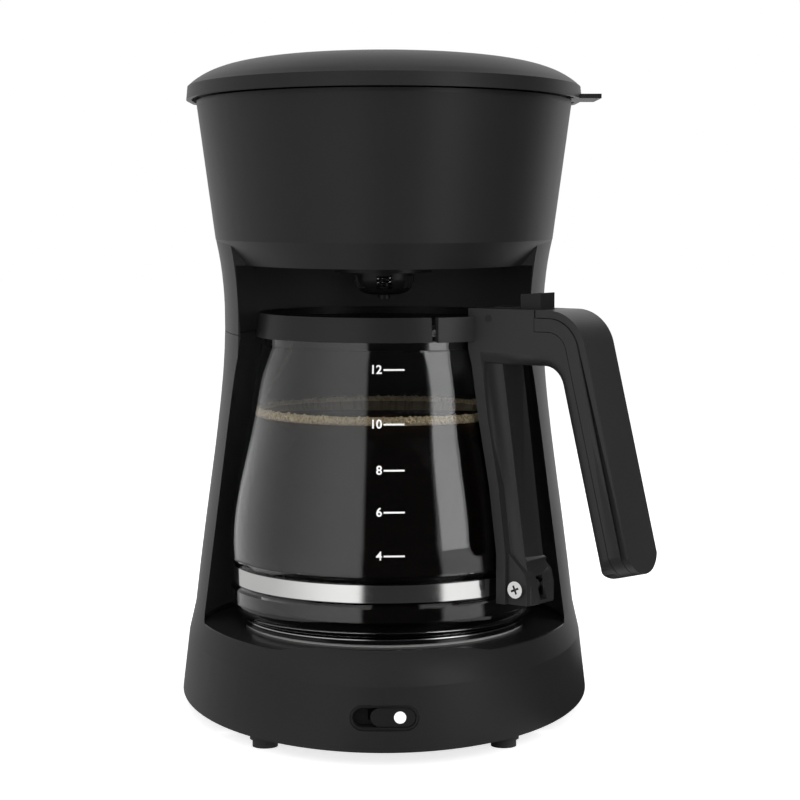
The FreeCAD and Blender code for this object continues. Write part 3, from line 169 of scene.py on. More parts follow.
class Tree:
    """A shader tree with one way to add any node."""

    def __init__(self, nodes: bpy.types.NodeTree) -> None:
        """Start from an emptied node tree."""
        self.nodes = nodes
        nodes.nodes.clear()

    def node(self, kind: str, settings: Optional[Mapping[str, Any]] = None,
             inputs: Optional[Mapping[Any, Any]] = None, out: Union[int, str] = 0) -> Value:
        """Add a node.

        Args:
            kind: the node's type.
            settings: its properties, set before its sockets.
            inputs: values or links of its sockets, by name or number.
            out: the output that is wanted.

        Returns:
            That output.
        """
        made = self.nodes.nodes.new(kind)
        for key, value in (settings or {}).items():
            setattr(made, key, value)
        for key, value in (inputs or {}).items():
            if isinstance(value, Value):
                self.nodes.links.new(value.socket, made.inputs[key])
            else:
                made.inputs[key].default_value = value
        return Value(self, made.outputs[out]) if made.outputs else Value(self, None)

    def place(self, centre: Vector = Vector(), scale: Colour = (1, 1, 1)) -> Value:
        """Give the object's own coordinates about a centre.

        Args:
            centre: the point that becomes the origin.
            scale: the stretch along each axis.

        Returns:
            The vector socket.
        """
        shift = tuple(-c * s for c, s in zip(centre, scale))
        inputs = {"Vector": self.node("ShaderNodeTexCoord", out="Object"), "Location": shift, "Scale": scale}
        return self.node("ShaderNodeMapping", {}, inputs)

    def noise(self, place: Value, scale: float, detail: float = 3.0) -> Value:
        """Give soft noise between 0 and 1 at so many patches a metre."""
        return self.node("ShaderNodeTexNoise", {}, {"Vector": place, "Scale": scale, "Detail": detail})

    def blend(self, factor: Operand, first: Any, second: Any) -> Value:
        """Mix two colours."""
        made = self.node("ShaderNodeMix", {"data_type": "RGBA"}, {"Factor": factor}, "Result")
        mix = made.socket.node
        for socket, colour in zip((mix.inputs[6], mix.inputs[7]), (first, second)):
            if isinstance(colour, Value):
                self.nodes.links.new(colour.socket, socket)
            else:
                socket.default_value = (*colour, 1.0)
        return Value(self, mix.outputs[2])

    def bump(self, height: Value, depth: float, strength: float = 1.0) -> Value:
        """Turn a height into a normal, with a depth in metres."""
        inputs = {"Height": height, "Distance": depth, "Strength": strength}
        return self.node("ShaderNodeBump", {}, inputs)

    def surface(self, inputs: Mapping[str, Any]) -> None:
        """Finish the tree with a principled surface."""
        shader = self.node("ShaderNodeBsdfPrincipled", {}, inputs)
        self.node("ShaderNodeOutputMaterial", {}, {"Surface": shader})


def shade(colour: Colour, by: float) -> Colour:
    """Make a colour lighter or darker by a factor."""
    return tuple(min(c * by, 1.0) for c in colour)


@dataclass(frozen=True)
class Finish:
    """What all finishes share: a name and a material that is made once."""

    name: str

    def build(self, tree: Tree) -> None:
        """Fill the material's tree."""
        raise NotImplementedError

    def material(self) -> bpy.types.Material:
        """Give the finish's material, made at its first use."""
        made = bpy.data.materials.get(self.name)
        if made is None:
            made = bpy.data.materials.new(self.name)
            made.use_nodes = True
            self.build(Tree(made.node_tree))
        return made


@dataclass(frozen=True)
class Moulded(Finish):
    """Moulded plastic or rubber with a fine spark-eroded grain and faint cloudiness."""

    colour: Colour
    rough: float = 0.42
    gloss: float = 0.25
    grain: float = 2400.0
    depth: float = 0.00002

    def parts(self, tree: Tree) -> dict[str, Any]:
        """Give the inputs of the surface.

        Args:
            tree: the tree that the nodes go into.

        Returns:
            The principled shader's inputs by name.
        """
        place = tree.place()
        grain, cloud = tree.noise(place, self.grain, 2.0), tree.noise(place, 14.0)
        tone = tree.blend(cloud, shade(self.colour, 0.86), shade(self.colour, 1.14))
        rough = self.rough + 0.10 * (grain - 0.5) + 0.08 * (cloud - 0.5)
        return {"Base Color": tone, "Roughness": rough, "Normal": tree.bump(grain, self.depth),
                "Specular IOR Level": self.gloss}

    def build(self, tree: Tree) -> None:
        """Fill the material's tree."""
        tree.surface(self.parts(tree))


@dataclass(frozen=True)
class Shell(Moulded):
    """The housing's plastic, with a polished tray round the warming plate and painted light in the bay: its
    walls are made paler to stand in for light that the lamps don't bring there.
    """

    axis: Vector = field(default_factory=Vector)
    tray_radius: float = 0.0885
    tray_low: float = 0.0475
    tray_high: float = 0.0495
    tray_rough: float = 0.12
    bay_high: float = 0.2245
    # How much paler the bay walls are painted: painted light, not a different plastic.
    bay_painted_light: float = 4.0

    def build(self, tree: Tree) -> None:
        """Fill the material's tree."""
        inputs = self.parts(tree)
        spot = tree.node("ShaderNodeSeparateXYZ", {}, {0: tree.place(self.axis)}, "X")
        x, y, z = spot, spot.out("Y"), spot.out("Z")
        inside = (x * x + y * y) < self.tray_radius ** 2
        tray = inside * (z > self.tray_low) * (z < self.tray_high)
        inputs["Roughness"] = inputs["Roughness"] * (1 - tray) + self.tray_rough * tray
        normal = tree.node("ShaderNodeNewGeometry", out="Normal")
        facing = tree.node("ShaderNodeSeparateXYZ", {}, {0: normal}, "X")
        # Painted light: the inward-facing walls of the bay get a paler colour that stands in for light they
        # don't get.
        inward = (x * facing + y * facing.out("Y")) < 0.0
        bay = inward * (z > self.tray_high) * (z < self.bay_high)
        inputs["Base Color"] = tree.blend(bay, inputs["Base Color"], shade(self.colour, self.bay_painted_light))
        tree.surface(inputs)


@dataclass(frozen=True)
class Metal(Finish):
    """Bare metal with fine lines that run round it."""

    colour: Colour
    rough: float = 0.12
    spread: float = 0.10
    lines: float = 1500.0

    def build(self, tree: Tree) -> None:
        """Fill the material's tree."""
        lines = tree.noise(tree.place(scale=(20.0, 20.0, self.lines)), 1.0, 2.0)
        smear = tree.noise(tree.place(), 40.0)
        tone = tree.blend(smear, shade(self.colour, 0.9), shade(self.colour, 1.06))
        rough = self.rough + self.spread * (lines - 0.5) + self.spread * (smear - 0.5)
        tree.surface({"Base Color": tone, "Metallic": 1.0, "Roughness": rough,
                      "Normal": tree.bump(lines, 0.000004)})


@dataclass(frozen=True)
class Enamel(Finish):
    """Dark gloss coating with a fine orange peel and pale flecks."""

    colour: Colour
    rough: float = 0.16

    def build(self, tree: Tree) -> None:
        """Fill the material's tree."""
        place = tree.place()
        peel, haze = tree.noise(place, 700.0, 2.0), tree.noise(place, 30.0)
        cells = tree.node("ShaderNodeTexVoronoi", {}, {"Vector": place, "Scale": 900.0}, "Distance")
        flecks = 1 - cells.ease(0.03, 0.12)
        tone = tree.blend(0.35 * flecks, self.colour, (0.09, 0.09, 0.09))
        tree.surface({"Base Color": tone, "Roughness": self.rough + 0.10 * (haze - 0.5),
                      "Normal": tree.bump(peel, 0.00002), "Coat Weight": 0.4 + 0.2 * haze})


@dataclass(frozen=True)
class Glass(Finish):
    """Clear blown glass with a faint waviness."""

    colour: Colour = (0.975, 0.985, 0.982)

    def build(self, tree: Tree) -> None:
        """Fill the material's tree."""
        wave = tree.noise(tree.place(scale=(1.0, 1.0, 0.5)), 22.0, 1.0)
        smear = tree.noise(tree.place(), 60.0)
        tone = tree.blend(smear, shade(self.colour, 0.985), self.colour)
        tree.surface({"Base Color": tone, "Roughness": 0.012 * smear, "IOR": 1.47,
                      "Transmission Weight": 1.0, "Normal": tree.bump(wave, 0.0004, 0.35)})


@dataclass(frozen=True)
class Lens(Finish):
    """White diffusing lens, lit from behind, brightest in its middle."""

    centre: Vector
    radius: float

    def build(self, tree: Tree) -> None:
        """Fill the material's tree."""
        spot = tree.node("ShaderNodeSeparateXYZ", {}, {0: tree.place(self.centre)}, "X")
        x, z = spot, spot.out("Z")
        edge = (x * x + z * z).ease((0.45 * self.radius) ** 2, self.radius ** 2)
        frost = tree.noise(tree.place(), 1800.0)
        glow = tree.blend(edge, (1.0, 1.0, 0.99), (0.42, 0.42, 0.43))
        tree.surface({"Base Color": tree.blend(frost, (0.78, 0.78, 0.77), (0.86, 0.86, 0.85)),
                      "Roughness": 0.3 + 0.15 * frost, "Emission Color": glow, "Emission Strength": 0.55})


@dataclass(frozen=True)
class Brew(Finish):
    """Black coffee, browner where it thins out at its surface."""

    level: float
    deep: Colour = (0.0035, 0.0016, 0.0008)
    thin: Colour = (0.030, 0.013, 0.005)

    def build(self, tree: Tree) -> None:
        """Fill the material's tree."""
        place = tree.place()
        height = tree.node("ShaderNodeSeparateXYZ", {}, {0: place}, "Z")
        cloud = tree.noise(place, 35.0)
        near = height.ease(self.level - 0.010, self.level + 0.002)
        tone = tree.blend(near * (0.6 + 0.4 * cloud), self.deep, self.thin)
        tree.surface({"Base Color": tone, "Roughness": 0.05 + 0.05 * cloud, "IOR": 1.33,
                      "Specular IOR Level": 0.06})


@dataclass(frozen=True)
class Froth(Finish):
    """Tan froth of fine bubbles."""

    def build(self, tree: Tree) -> None:
        """Fill the material's tree."""
        place = tree.place()
        cells = tree.node("ShaderNodeTexVoronoi", {}, {"Vector": place, "Scale": 750.0}, "Distance")
        cloud = tree.noise(place, 160.0)
        walls = cells.ease(0.1, 0.6)
        tone = tree.blend(walls, (0.56, 0.41, 0.22), (0.90, 0.76, 0.52))
        tone = tree.blend(cloud * 0.4, tone, (0.40, 0.26, 0.11))
        tree.surface({"Base Color": tone, "Roughness": 0.22 + 0.2 * cloud,
                      "Normal": tree.bump(cells, 0.0004)})


@dataclass(frozen=True)
class Ink(Finish):
    """White printing ink, a little uneven."""

    colour: Colour = (0.86, 0.86, 0.85)

    def build(self, tree: Tree) -> None:
        """Fill the material's tree."""
        speckle = tree.noise(tree.place(), 2600.0)
        tone = tree.blend(speckle, shade(self.colour, 0.9), self.colour)
        tree.surface({"Base Color": tone, "Roughness": 0.45 + 0.2 * speckle})


def smooth(piece: bpy.types.Object, finish: Finish, body: Body) -> bpy.types.Object:
    """Shade a new piece, dress it and let it ride.

    Args:
        piece: the new object.
        finish: its finish.
        body: the body that it moves with.

    Returns:
        The piece.
    """
    piece.data.shade_smooth()
    piece.data.materials.append(finish.material())
    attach(piece, body.value)
    LOG.info("piece %s: %d faces on %s", piece.name, len(piece.data.polygons), body.value)
    return piece


def as_piece(name: str, form: bmesh.types.BMesh) -> bpy.types.Object:
    """Turn a bmesh into an object of the scene.

    Args:
        name: the piece's name.
        form: its shape, which is freed.

    Returns:
        The object, at the origin.
    """
    mesh = bpy.data.meshes.new(name)
    form.to_mesh(mesh)
    form.free()
    piece = bpy.data.objects.new(name, mesh)
    bpy.context.scene.collection.objects.link(piece)
    return piece


def turned(profile: Profile, axis: Vector, closed: bool, steps: int = 128) -> bmesh.types.BMesh:
    """Spin a profile of radii and heights about an upright axis.

    Args:
        profile: pairs of radius and height in metres.
        axis: where the axis stands.
        closed: whether the last point joins the first.
        steps: the facets round the axis.

    Returns:
        The turned shape, facing outwards.
    """
    form = bmesh.new()
    spots = [form.verts.new((radius, 0.0, height)) for radius, height in profile]
    pairs = list(zip(spots, spots[1:])) + ([(spots[-1], spots[0])] if closed else [])
    lines = [form.edges.new(pair) for pair in pairs]
    bmesh.ops.spin(form, geom=spots + lines, cent=(0, 0, 0), axis=(0, 0, 1), angle=2 * math.pi,
                   steps=steps, use_merge=True)
    bmesh.ops.remove_doubles(form, verts=form.verts, dist=1e-6)
    bmesh.ops.recalc_face_normals(form, faces=form.faces)
    bmesh.ops.translate(form, verts=form.verts, vec=(axis.x, axis.y, 0.0))
    return form


@dataclass
class Carafe:
    """The contents of the carafe and the marks printed on its glass."""

    axis: Vector
    node: bpy.types.Object
    level: float = 153.6 * MM
    gap: float = 0.35 * MM
    wall: float = 2.6 * MM
    glass: Profile = ((64.0, 51.7), (75.7, 60.5), (75.7, 67.0), (73.9, 69.4), (73.9, 78.6), (76.2, 82.0),
                      (76.2, 90.0), (72.0, 122.0), (65.9, 153.8), (62.3, 178.0))
    marks: Mapping[str, float] = field(default_factory=lambda: {
        "12": 177.0, "10": 152.0, "8": 131.0, "6": 112.0, "4": 92.0})
    mark_height: float = 5.6 * MM
    mark_end: float = -1.0 * MM
    dash: tuple[float, float, float] = (-0.3 * MM, 9.4 * MM, 0.8 * MM)
    ink_lift: float = 0.06 * MM
    weight: float = 0.11 * MM
    ink_depth: float = 0.02 * MM
    sight: float = 0.2
    skin_drop: float = 1.0 * MM
    bubbles: int = 1000
    bubble_radii: tuple[float, float] = (0.45, 0.95)
    bubble_gaps: tuple[float, ...] = (0.0, 0.0, 0.1, 0.2, 1.2)
    froth_low: float = 2.8 * MM
    froth_high: float = 1.9 * MM
    froth_gap: float = 0.1 * MM

    def outside(self, height: float) -> float:
        """Find the glass's outer radius at a height.

        Args:
            height: the height in metres.

        Returns:
            The radius in metres.
        """
        spots = [(r * MM, z * MM) for r, z in self.glass]
        for (r0, z0), (r1, z1) in zip(spots, spots[1:]):
            if z0 <= height <= z1:
                return r0 + (r1 - r0) * (height - z0) / (z1 - z0)
        return spots[-1][0]

    def inside(self, height: float) -> float:
        """Find how far contents may reach at a height."""
        return self.outside(height) - self.wall - self.gap

    def coffee(self) -> bpy.types.Object:
        """Build the coffee up to its level, with a step at the glass where the froth lies."""
        floor = self.glass[0][1] * MM + self.wall + self.gap
        low = self.level - self.froth_low
        below = [(r * MM - self.wall - self.gap, max(z * MM, floor)) for r, z in self.glass if z * MM < low]
        edge = self.inside(low)
        top = self.level - self.skin_drop
        skin = [(edge, low), (edge - 2.4 * MM, low), (edge - 3.0 * MM, top), (0.0, top)]
        form = turned([(0.0, floor)] + below + skin, self.axis, False)
        return smooth(as_piece("coffee", form), Brew("coffee", self.level), Body.CARAFE)

    @staticmethod
    def bubble() -> tuple[list[Vector], list[list[int]]]:
        """Give the corners and the faces of a bubble of radius 1."""
        ball = bmesh.new()
        bmesh.ops.create_uvsphere(ball, u_segments=8, v_segments=5, radius=1.0)
        ball.verts.index_update()
        corners = [vert.co.copy() for vert in ball.verts]
        sides = [[vert.index for vert in face.verts] for face in ball.faces]
        ball.free()
        return corners, sides

    def froth(self) -> bpy.types.Object:
        """Build the ring of froth along the glass, with single bubbles on it."""
        low, high = self.level - self.froth_low + self.froth_gap, self.level + self.froth_high
        foot, head = self.inside(low), self.inside(high)
        ring = [(foot - 2.3 * MM, low), (foot - 0.9 * MM, low),
                (head - 0.9 * MM, high - 0.6 * MM), (head - 2.2 * MM, high - 1.0 * MM)]
        form = turned(ring, self.axis, True)
        corners, sides = self.bubble()
        chance = random.Random(12)
        for _ in range(self.bubbles):
            angle, radius = chance.uniform(0, 2 * math.pi), chance.uniform(*self.bubble_radii) * MM
            height = chance.uniform(low + radius, high - radius)
            reach = self.inside(height + radius) - radius - chance.choice(self.bubble_gaps) * MM
            spot = self.axis + Vector((reach * math.cos(angle), reach * math.sin(angle), height))
            placed = [form.verts.new(spot + radius * corner) for corner in corners]
            for side in sides:
                form.faces.new([placed[i] for i in side])
        return smooth(as_piece("froth", form), Froth("froth"), Body.CARAFE)

    def wrap(self, form: bmesh.types.BMesh, height: float, skin: BVHTree) -> None:
        """Lay a flat shape, drawn in X and Y, on the front of the glass.

        Args:
            form: the shape, changed in place.
            height: the height of its own zero line.
            skin: the glass's surface, which rays from outside find.
        """
        for vert in form.verts:
            angle = vert.co.x / self.outside(height)
            way = Vector((math.sin(angle), -math.cos(angle), 0))
            start = self.axis + way * self.sight + Vector((0, 0, height + vert.co.y))
            vert.co = skin.ray_cast(start, -way)[0] + way * (self.ink_lift + vert.co.z)

    def number(self, label: str) -> bmesh.types.BMesh:
        """Draw one level number as flat faces.

        Args:
            label: the digits.

        Returns:
            The faces, with the right end of the digits at the number's end.
        """
        text = bpy.data.curves.new("level_number", "FONT")
        text.body, text.size, text.align_x, text.align_y = label, self.mark_height, "RIGHT", "CENTER"
        text.extrude, text.offset = self.ink_depth, self.weight
        holder = bpy.data.objects.new("level_number", text)
        bpy.context.scene.collection.objects.link(holder)
        view = bpy.context.evaluated_depsgraph_get()
        mesh = bpy.data.meshes.new_from_object(holder.evaluated_get(view))
        form = bmesh.new()
        form.from_mesh(mesh)
        bpy.data.objects.remove(holder)
        bpy.data.curves.remove(text)
        bpy.data.meshes.remove(mesh)
        bmesh.ops.translate(form, verts=form.verts, vec=(self.mark_end, 0, 0))
        return form

    def stroke(self) -> bmesh.types.BMesh:
        """Draw one level dash as a thin strip of faces."""
        start, end, tall = self.dash
        form = bmesh.new()
        bmesh.ops.create_grid(form, x_segments=8, y_segments=1, size=0.5)
        bmesh.ops.scale(form, verts=form.verts, vec=(end - start, tall, 1.0))
        bmesh.ops.translate(form, verts=form.verts, vec=((start + end) / 2, 0, 0))
        return form

    def scale(self) -> list[bpy.types.Object]:
        """Print the level numbers and dashes.

        Returns:
            One piece for each number and each dash.
        """
        made = []
        glass = merged_copy(self.node)
        skin = BVHTree.FromBMesh(glass)
        glass.free()
        for label, height in self.marks.items():
            for name, form in ((f"level_{label}", self.number(label)), (f"dash_{label}", self.stroke())):
                self.wrap(form, height * MM, skin)
                piece = as_piece(name, form)
                made.append(smooth(piece, Ink("printing_ink"), Body.CARAFE))
        return made

    def build(self) -> None:
        """Build the contents and the marks."""
        self.coffee()
        self.froth()
        self.scale()


@dataclass
class PlateRim:
    """The bright bead round the warming plate."""

    axis: Vector
    radius: float = 68.9 * MM
    height: float = 51.3 * MM
    bead: float = 0.45 * MM

    def build(self) -> bpy.types.Object:
        """Build the bead."""
        turns = [math.radians(45 * i) for i in range(8)]
        ring = [(self.radius + self.bead * math.cos(a), self.height + self.bead * math.sin(a)) for a in turns]
        form = turned(ring, self.axis, True, 192)
        finish = Metal("rim_steel", (0.62, 0.62, 0.62), 0.18)
        return smooth(as_piece("plate_rim_bead", form), finish, Body.HOUSING)


def merged_copy(node: bpy.types.Object) -> bmesh.types.BMesh:
    """Copy a solid's shape with its loose triangles joined.

    Args:
        node: the part's own solid, which stays as it is.

    Returns:
        The copy.
    """
    form = bmesh.new()
    form.from_mesh(node.data)
    bmesh.ops.remove_doubles(form, verts=form.verts, dist=2e-6)
    return form


def raise_faces(form: bmesh.types.BMesh, rise: float, closed: bool) -> None:
    """Make a flat shape solid by pulling its faces up.

    Args:
        form: the shape, changed in place.
        rise: how far the faces go.
        closed: whether the faces are kept below as well.
    """
    raised = bmesh.ops.extrude_face_region(form, geom=form.faces[:], use_keep_orig=closed)
    moved = [part for part in raised["geom"] if isinstance(part, bmesh.types.BMVert)]
    bmesh.ops.translate(form, verts=moved, vec=(0, 0, rise))


@dataclass
class HeadRim:
    """The raised edge of the brew head that the lid sits down on."""

    node: bpy.types.Object
    axis: Vector
    height: float = 303.0 * MM
    rise: float = 1.9 * MM
    front_of: float = 98.0 * MM
    slack: float = 0.05 * MM
    upward: float = 0.9

    def build(self) -> bpy.types.Object:
        """Raise the top edge of the head, in front of the hinge."""
        form = merged_copy(self.node)
        rest = [f for f in form.faces
                if abs(f.calc_center_median().z - self.height) > self.slack or f.normal.z < self.upward]
        bmesh.ops.delete(form, geom=rest, context="FACES")
        cut = self.axis + Vector((0, self.front_of, 0))
        whole = form.verts[:] + form.edges[:] + form.faces[:]
        bmesh.ops.bisect_plane(form, geom=whole, plane_co=cut, plane_no=(0, 1, 0), clear_outer=True)
        raise_faces(form, self.rise, True)
        bmesh.ops.recalc_face_normals(form, faces=form.faces)
        finish = Moulded("rim_satin", (0.0125, 0.0125, 0.0128), 0.42, 0.2)
        piece = smooth(as_piece("head_rim", form), finish, Body.HOUSING)
        piece.data.set_sharp_from_angle(angle=SHARP_EDGE)
        return piece


@dataclass
class Grip:
    """The handle's three mouldings with a paddle-shaped free end and a softened spine."""

    axis: Vector
    nodes: Mapping[str, bpy.types.Object]
    finish: Finish
    tip: tuple[float, float] = (149.75 * MM, 84.0 * MM)
    slope: float = 0.25
    short: float = 2.2 * MM
    end_radius: float = 14.0 * MM
    heel_radius: float = 15.0 * MM
    depth: float = 28.1 * MM
    spine_half: float = 8.5 * MM
    spine_round: float = 3.2 * MM
    spine_from: float = 70.0 * MM
    spine_free: float = 76.0 * MM
    spine_top: float = 182.0 * MM
    spine_edge: float = 6.0 * MM
    slack: float = 0.05 * MM
    flat: float = math.radians(1.5)
    corner: float = math.radians(40)
    paddle_cut: tuple[float, float] = (-36.0 * MM, 12.0 * MM)
    heel_cut: tuple[float, float] = (-30.0 * MM, 30.0 * MM)
    names: tuple[str, ...] = ("carafe_handle", "grip_frame", "handle_cover")

    def plane(self) -> Matrix:
        """Give the turn and shift from the handle's own plane to the machine's frame."""
        return Matrix.Translation(self.axis) @ Matrix.Rotation(-HANDLE_TURN, 4, "Z")

    @property
    def down(self) -> Vector:
        """Give the direction along the grip, towards its free end."""
        return Vector((self.slope, 0, -1)).normalized()

    @property
    def out(self) -> Vector:
        """Give the direction across the grip, away from the glass."""
        return Vector((1, 0, self.slope)).normalized()

    def frame(self, back: float, inward: float, across: Vector, along: Vector) -> Matrix:
        """Give the place of a cutter near the free end.

        Args:
            back: how far before the end its middle lies.
            inward: how far its middle lies inside the outer face.
            across: the direction of its first axis in the handle's plane.
            along: the direction of its third axis.

        Returns:
            The matrix from the cutter's own axes to the machine's frame.
        """
        middle = Vector((self.tip[0], 0, self.tip[1])) - self.down * back - self.out * inward
        axes = Matrix((across, self.down, along)).transposed().to_4x4()
        return self.plane() @ Matrix.Translation(middle) @ axes

    @staticmethod
    def cutter(name: str, radius: float, sweep: int, place: Matrix,
               reach: tuple[float, float]) -> bpy.types.Object:
        """Build what is cut away outside an arc.

        Args:
            name: the cutter's name.
            radius: the arc's radius.
            sweep: how far the arc goes round, 90 or 180 degrees.
            place: the cutter's place.
            reach: the two ends of the cut along the third axis.

        Returns:
            The cutter.
        """
        far = 3 * radius
        turns = [math.radians(sweep * i / 48) for i in range(49)]
        arc = [(radius * math.cos(a), radius * math.sin(a)) for a in turns]
        beyond = {90: [(0.0, far)], 180: [(-far, 0.0), (-far, far)]}[sweep]
        outline = arc + beyond + [(far, far), (far, 0.0)]
        low, high = reach
        form = bmesh.new()
        form.faces.new([form.verts.new((x, y, low)) for x, y in outline])
        raise_faces(form, high - low, True)
        bmesh.ops.remove_doubles(form, verts=form.verts, dist=1e-7)
        bmesh.ops.transform(form, matrix=place, verts=form.verts)
        bmesh.ops.recalc_face_normals(form, faces=form.faces)
        return as_piece(name, form)

    def soften(self, form: bmesh.types.BMesh) -> None:
        """Round the long edges of the spine.

        Args:
            form: the handle's shape, changed in place.
        """
        bmesh.ops.dissolve_limit(form, angle_limit=self.flat, verts=form.verts, edges=form.edges)
        back = self.plane().inverted()
        chosen = []
        for edge in form.edges:
            ends = [back @ v.co for v in edge.verts]
            on_side = all(abs(abs(p.y) - self.spine_half) < self.slack for p in ends)
            outer = all(p.x > self.spine_from and p.z < self.spine_top for p in ends)
            if on_side and outer and edge.is_manifold and edge.calc_face_angle(0.0) > self.corner:
                chosen.append(edge)
        long = [e for e in chosen if (e.verts[0].co - e.verts[1].co).length > self.spine_edge]
        free = [e for e in long if min((back @ v.co).x for v in e.verts) > self.spine_free]
        LOG.info("spine edges: %d", len(free))
        bmesh.ops.bevel(form, geom=free, offset=self.spine_round, offset_type="OFFSET", affect="EDGES",
                        segments=5, profile=0.5, material=-1, clamp_overlap=True)

    def build(self) -> None:
        """Build the three mouldings in place of the plain ones."""
        side = Vector((0, 1, 0))
        paddle = self.frame(self.short + self.end_radius, 0.0, side, self.out)
        heel = self.frame(self.short + self.heel_radius, self.depth - self.heel_radius, -self.out, side)
        cuts = [self.cutter("paddle_cut", self.end_radius, 180, paddle, self.paddle_cut),
                self.cutter("heel_cut", self.heel_radius, 90, heel, self.heel_cut)]
        for name in self.names:
            form = merged_copy(self.nodes[name])
            if name == self.names[0]:
                self.soften(form)
            rough = as_piece(name + "_rough", form)
            for cut in cuts:
                shape = rough.modifiers.new(cut.name, "BOOLEAN")
                shape.operation, shape.solver, shape.object = "DIFFERENCE", "EXACT", cut
            view = bpy.context.evaluated_depsgraph_get()
            mesh = bpy.data.meshes.new_from_object(rough.evaluated_get(view))
            bpy.data.objects.remove(rough)
            piece = bpy.data.objects.new(name + "_rounded", mesh)
            bpy.context.scene.collection.objects.link(piece)
            mesh.materials.clear()
            smooth(piece, self.finish, Body.CARAFE)
            mesh.set_sharp_from_angle(angle=SHARP_EDGE)
            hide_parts(name)
        for cut in cuts:
            bpy.data.objects.remove(cut)


@dataclass
class Spring:
    """The drip stop's coil, which in the real machine shortens between the plunger and the brew head; here it
    is a fixed copy.
    """

    node: bpy.types.Object
    finish: Finish
    name: str = "drip_spring"

    def build(self) -> bpy.types.Object:
        """Build a smoothly shaded copy of the coil in place of the plain one."""
        piece = as_piece(self.name + "_coil", merged_copy(self.node))
        piece.data.shade_smooth()
        piece.data.materials.append(self.finish.material())
        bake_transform(piece)
        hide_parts(self.name)
        LOG.info("piece %s: %d faces", piece.name, len(piece.data.polygons))
        return piece


@dataclass
class ClampCross:
    """The cross recess in the head of the handle's clamp screw, drawn as a thin dark plate: painted shade for
    the hollow of the recess.
    """

    axis: Vector
    reach: float = 86.5 * MM
    side: float = 13.7 * MM
    height: float = 74.0 * MM
    arm: float = 2.2 * MM
    half: float = 0.5 * MM
    proud: float = 0.04 * MM
    tilt: float = math.radians(24)

    def build(self) -> bpy.types.Object:
        """Build the cross as one plate, drawn upright and turned to the handle."""
        form = bmesh.new()
        bmesh.ops.create_grid(form, x_segments=3, y_segments=3, size=self.half * 3)
        corners = [f for f in form.faces if min(abs(c) for c in f.calc_center_median().xy) > self.half]
        bmesh.ops.delete(form, geom=corners, context="FACES")
        for vert in form.verts:
            for i in (0, 1):
                if abs(vert.co[i]) > self.half * 2:
                    vert.co[i] = math.copysign(self.arm, vert.co[i])
        raise_faces(form, self.proud, False)
        bmesh.ops.recalc_face_normals(form, faces=form.faces)
        stand = Matrix.Rotation(math.radians(90), 4, "X")
        spin = Matrix.Rotation(self.tilt, 4, "Z")
        bmesh.ops.transform(form, matrix=stand @ spin, verts=form.verts)
        bmesh.ops.translate(form, verts=form.verts, vec=(self.reach, -self.side, self.height))
        bmesh.ops.transform(form, matrix=Matrix.Rotation(-HANDLE_TURN, 4, "Z"), verts=form.verts)
        bmesh.ops.translate(form, verts=form.verts, vec=(self.axis.x, self.axis.y, 0))
        # Painted shade: the dark colour stands in for the shade inside the recess.
        finish = Metal("recess_painted_shade", (0.07, 0.07, 0.07), 0.4)
        return smooth(as_piece("clamp_screw_cross", form), finish, Body.CARAFE)


@dataclass
class Machine:
    """The finishes of all the part's own solids."""

    axis: Vector
    lamp: str = "lamp_lens"
    dark_device: str = "switch_body"

    def finishes(self) -> dict[Slot, Finish]:
        """Give the finish of each of the record's slots."""
        low, high = (Vector(corner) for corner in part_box(self.lamp))
        return {
            Slot.HOUSING: Shell("housing_satin", (0.0145, 0.0145, 0.0148), 0.44, 0.15, axis=self.axis),
            Slot.BLACK: Moulded("trim_satin", (0.0125, 0.0125, 0.0128), 0.36, 0.22),
            Slot.GRIP: Moulded("grip_satin", (0.0205, 0.0205, 0.0208), 0.40, 0.26, 2000.0),
            Slot.INNER: Moulded("inner_matt", (0.014, 0.014, 0.014), 0.55, 0.2, 1200.0, 0.00004),
            Slot.ENAMEL: Enamel("plate_enamel", (0.004, 0.004, 0.004)),
            Slot.STEEL: Metal("polished_steel", (0.80, 0.80, 0.79)),
            Slot.ALUMINIUM: Metal("bare_aluminium", (0.68, 0.68, 0.69), 0.34, 0.16, 600.0),
            Slot.SILICONE: Moulded("grey_silicone", (0.42, 0.42, 0.41), 0.5, 0.3, 900.0),
            Slot.RUBBER: Moulded("foot_rubber", (0.010, 0.010, 0.010), 0.75, 0.15, 1400.0, 0.00005),
            Slot.GLASS: Glass("clear_glass"),
            Slot.LAMP: Lens("lamp_lens", (low + high) / 2, (high.x - low.x) / 2),
            Slot.DEVICE: Moulded("device_nylon", (0.42, 0.39, 0.32), 0.5, 0.3, 1000.0),
        }

    def build(self, record: Mapping[str, Any], nodes: Mapping[str, bpy.types.Object]) -> None:
        """Dress every solid by its slot.

        Args:
            record: the part's record.
            nodes: its solids by name.
        """
        finishes = self.finishes()
        dark = Moulded("switch_nylon", (0.010, 0.010, 0.010), 0.5, 0.2, 1000.0)
        for sub_part in record["subparts"]:
            node = nodes[sub_part["node"]]
            finish = finishes[Slot(sub_part["material_slot"])]
            finish = dark if sub_part["node"] == self.dark_device else finish
            for place in node.material_slots:
                place.material = finish.material()
            if not node.material_slots:
                node.data.materials.append(finish.material())
            LOG.info("solid %s: %s", sub_part["node"], finish.name)


@dataclass
class Softbox:
    """One large lamp that faces a point of the machine."""

    name: str
    spot: Vector
    wide: float
    tall: float
    power: float
    mirrored: bool

    def build(self, target: Vector) -> None:
        """Hang the lamp and turn it to the target."""
        light = bpy.data.lights.new(self.name, "AREA")
        light.shape, light.size, light.size_y, light.energy = "RECTANGLE", self.wide, self.tall, self.power
        lamp = bpy.data.objects.new(self.name, light)
        lamp.location = self.spot
        lamp.visible_glossy = lamp.visible_transmission = self.mirrored
        lamp.rotation_euler = (target - self.spot).to_track_quat("-Z", "Y").to_euler()
        bpy.context.scene.collection.objects.link(lamp)


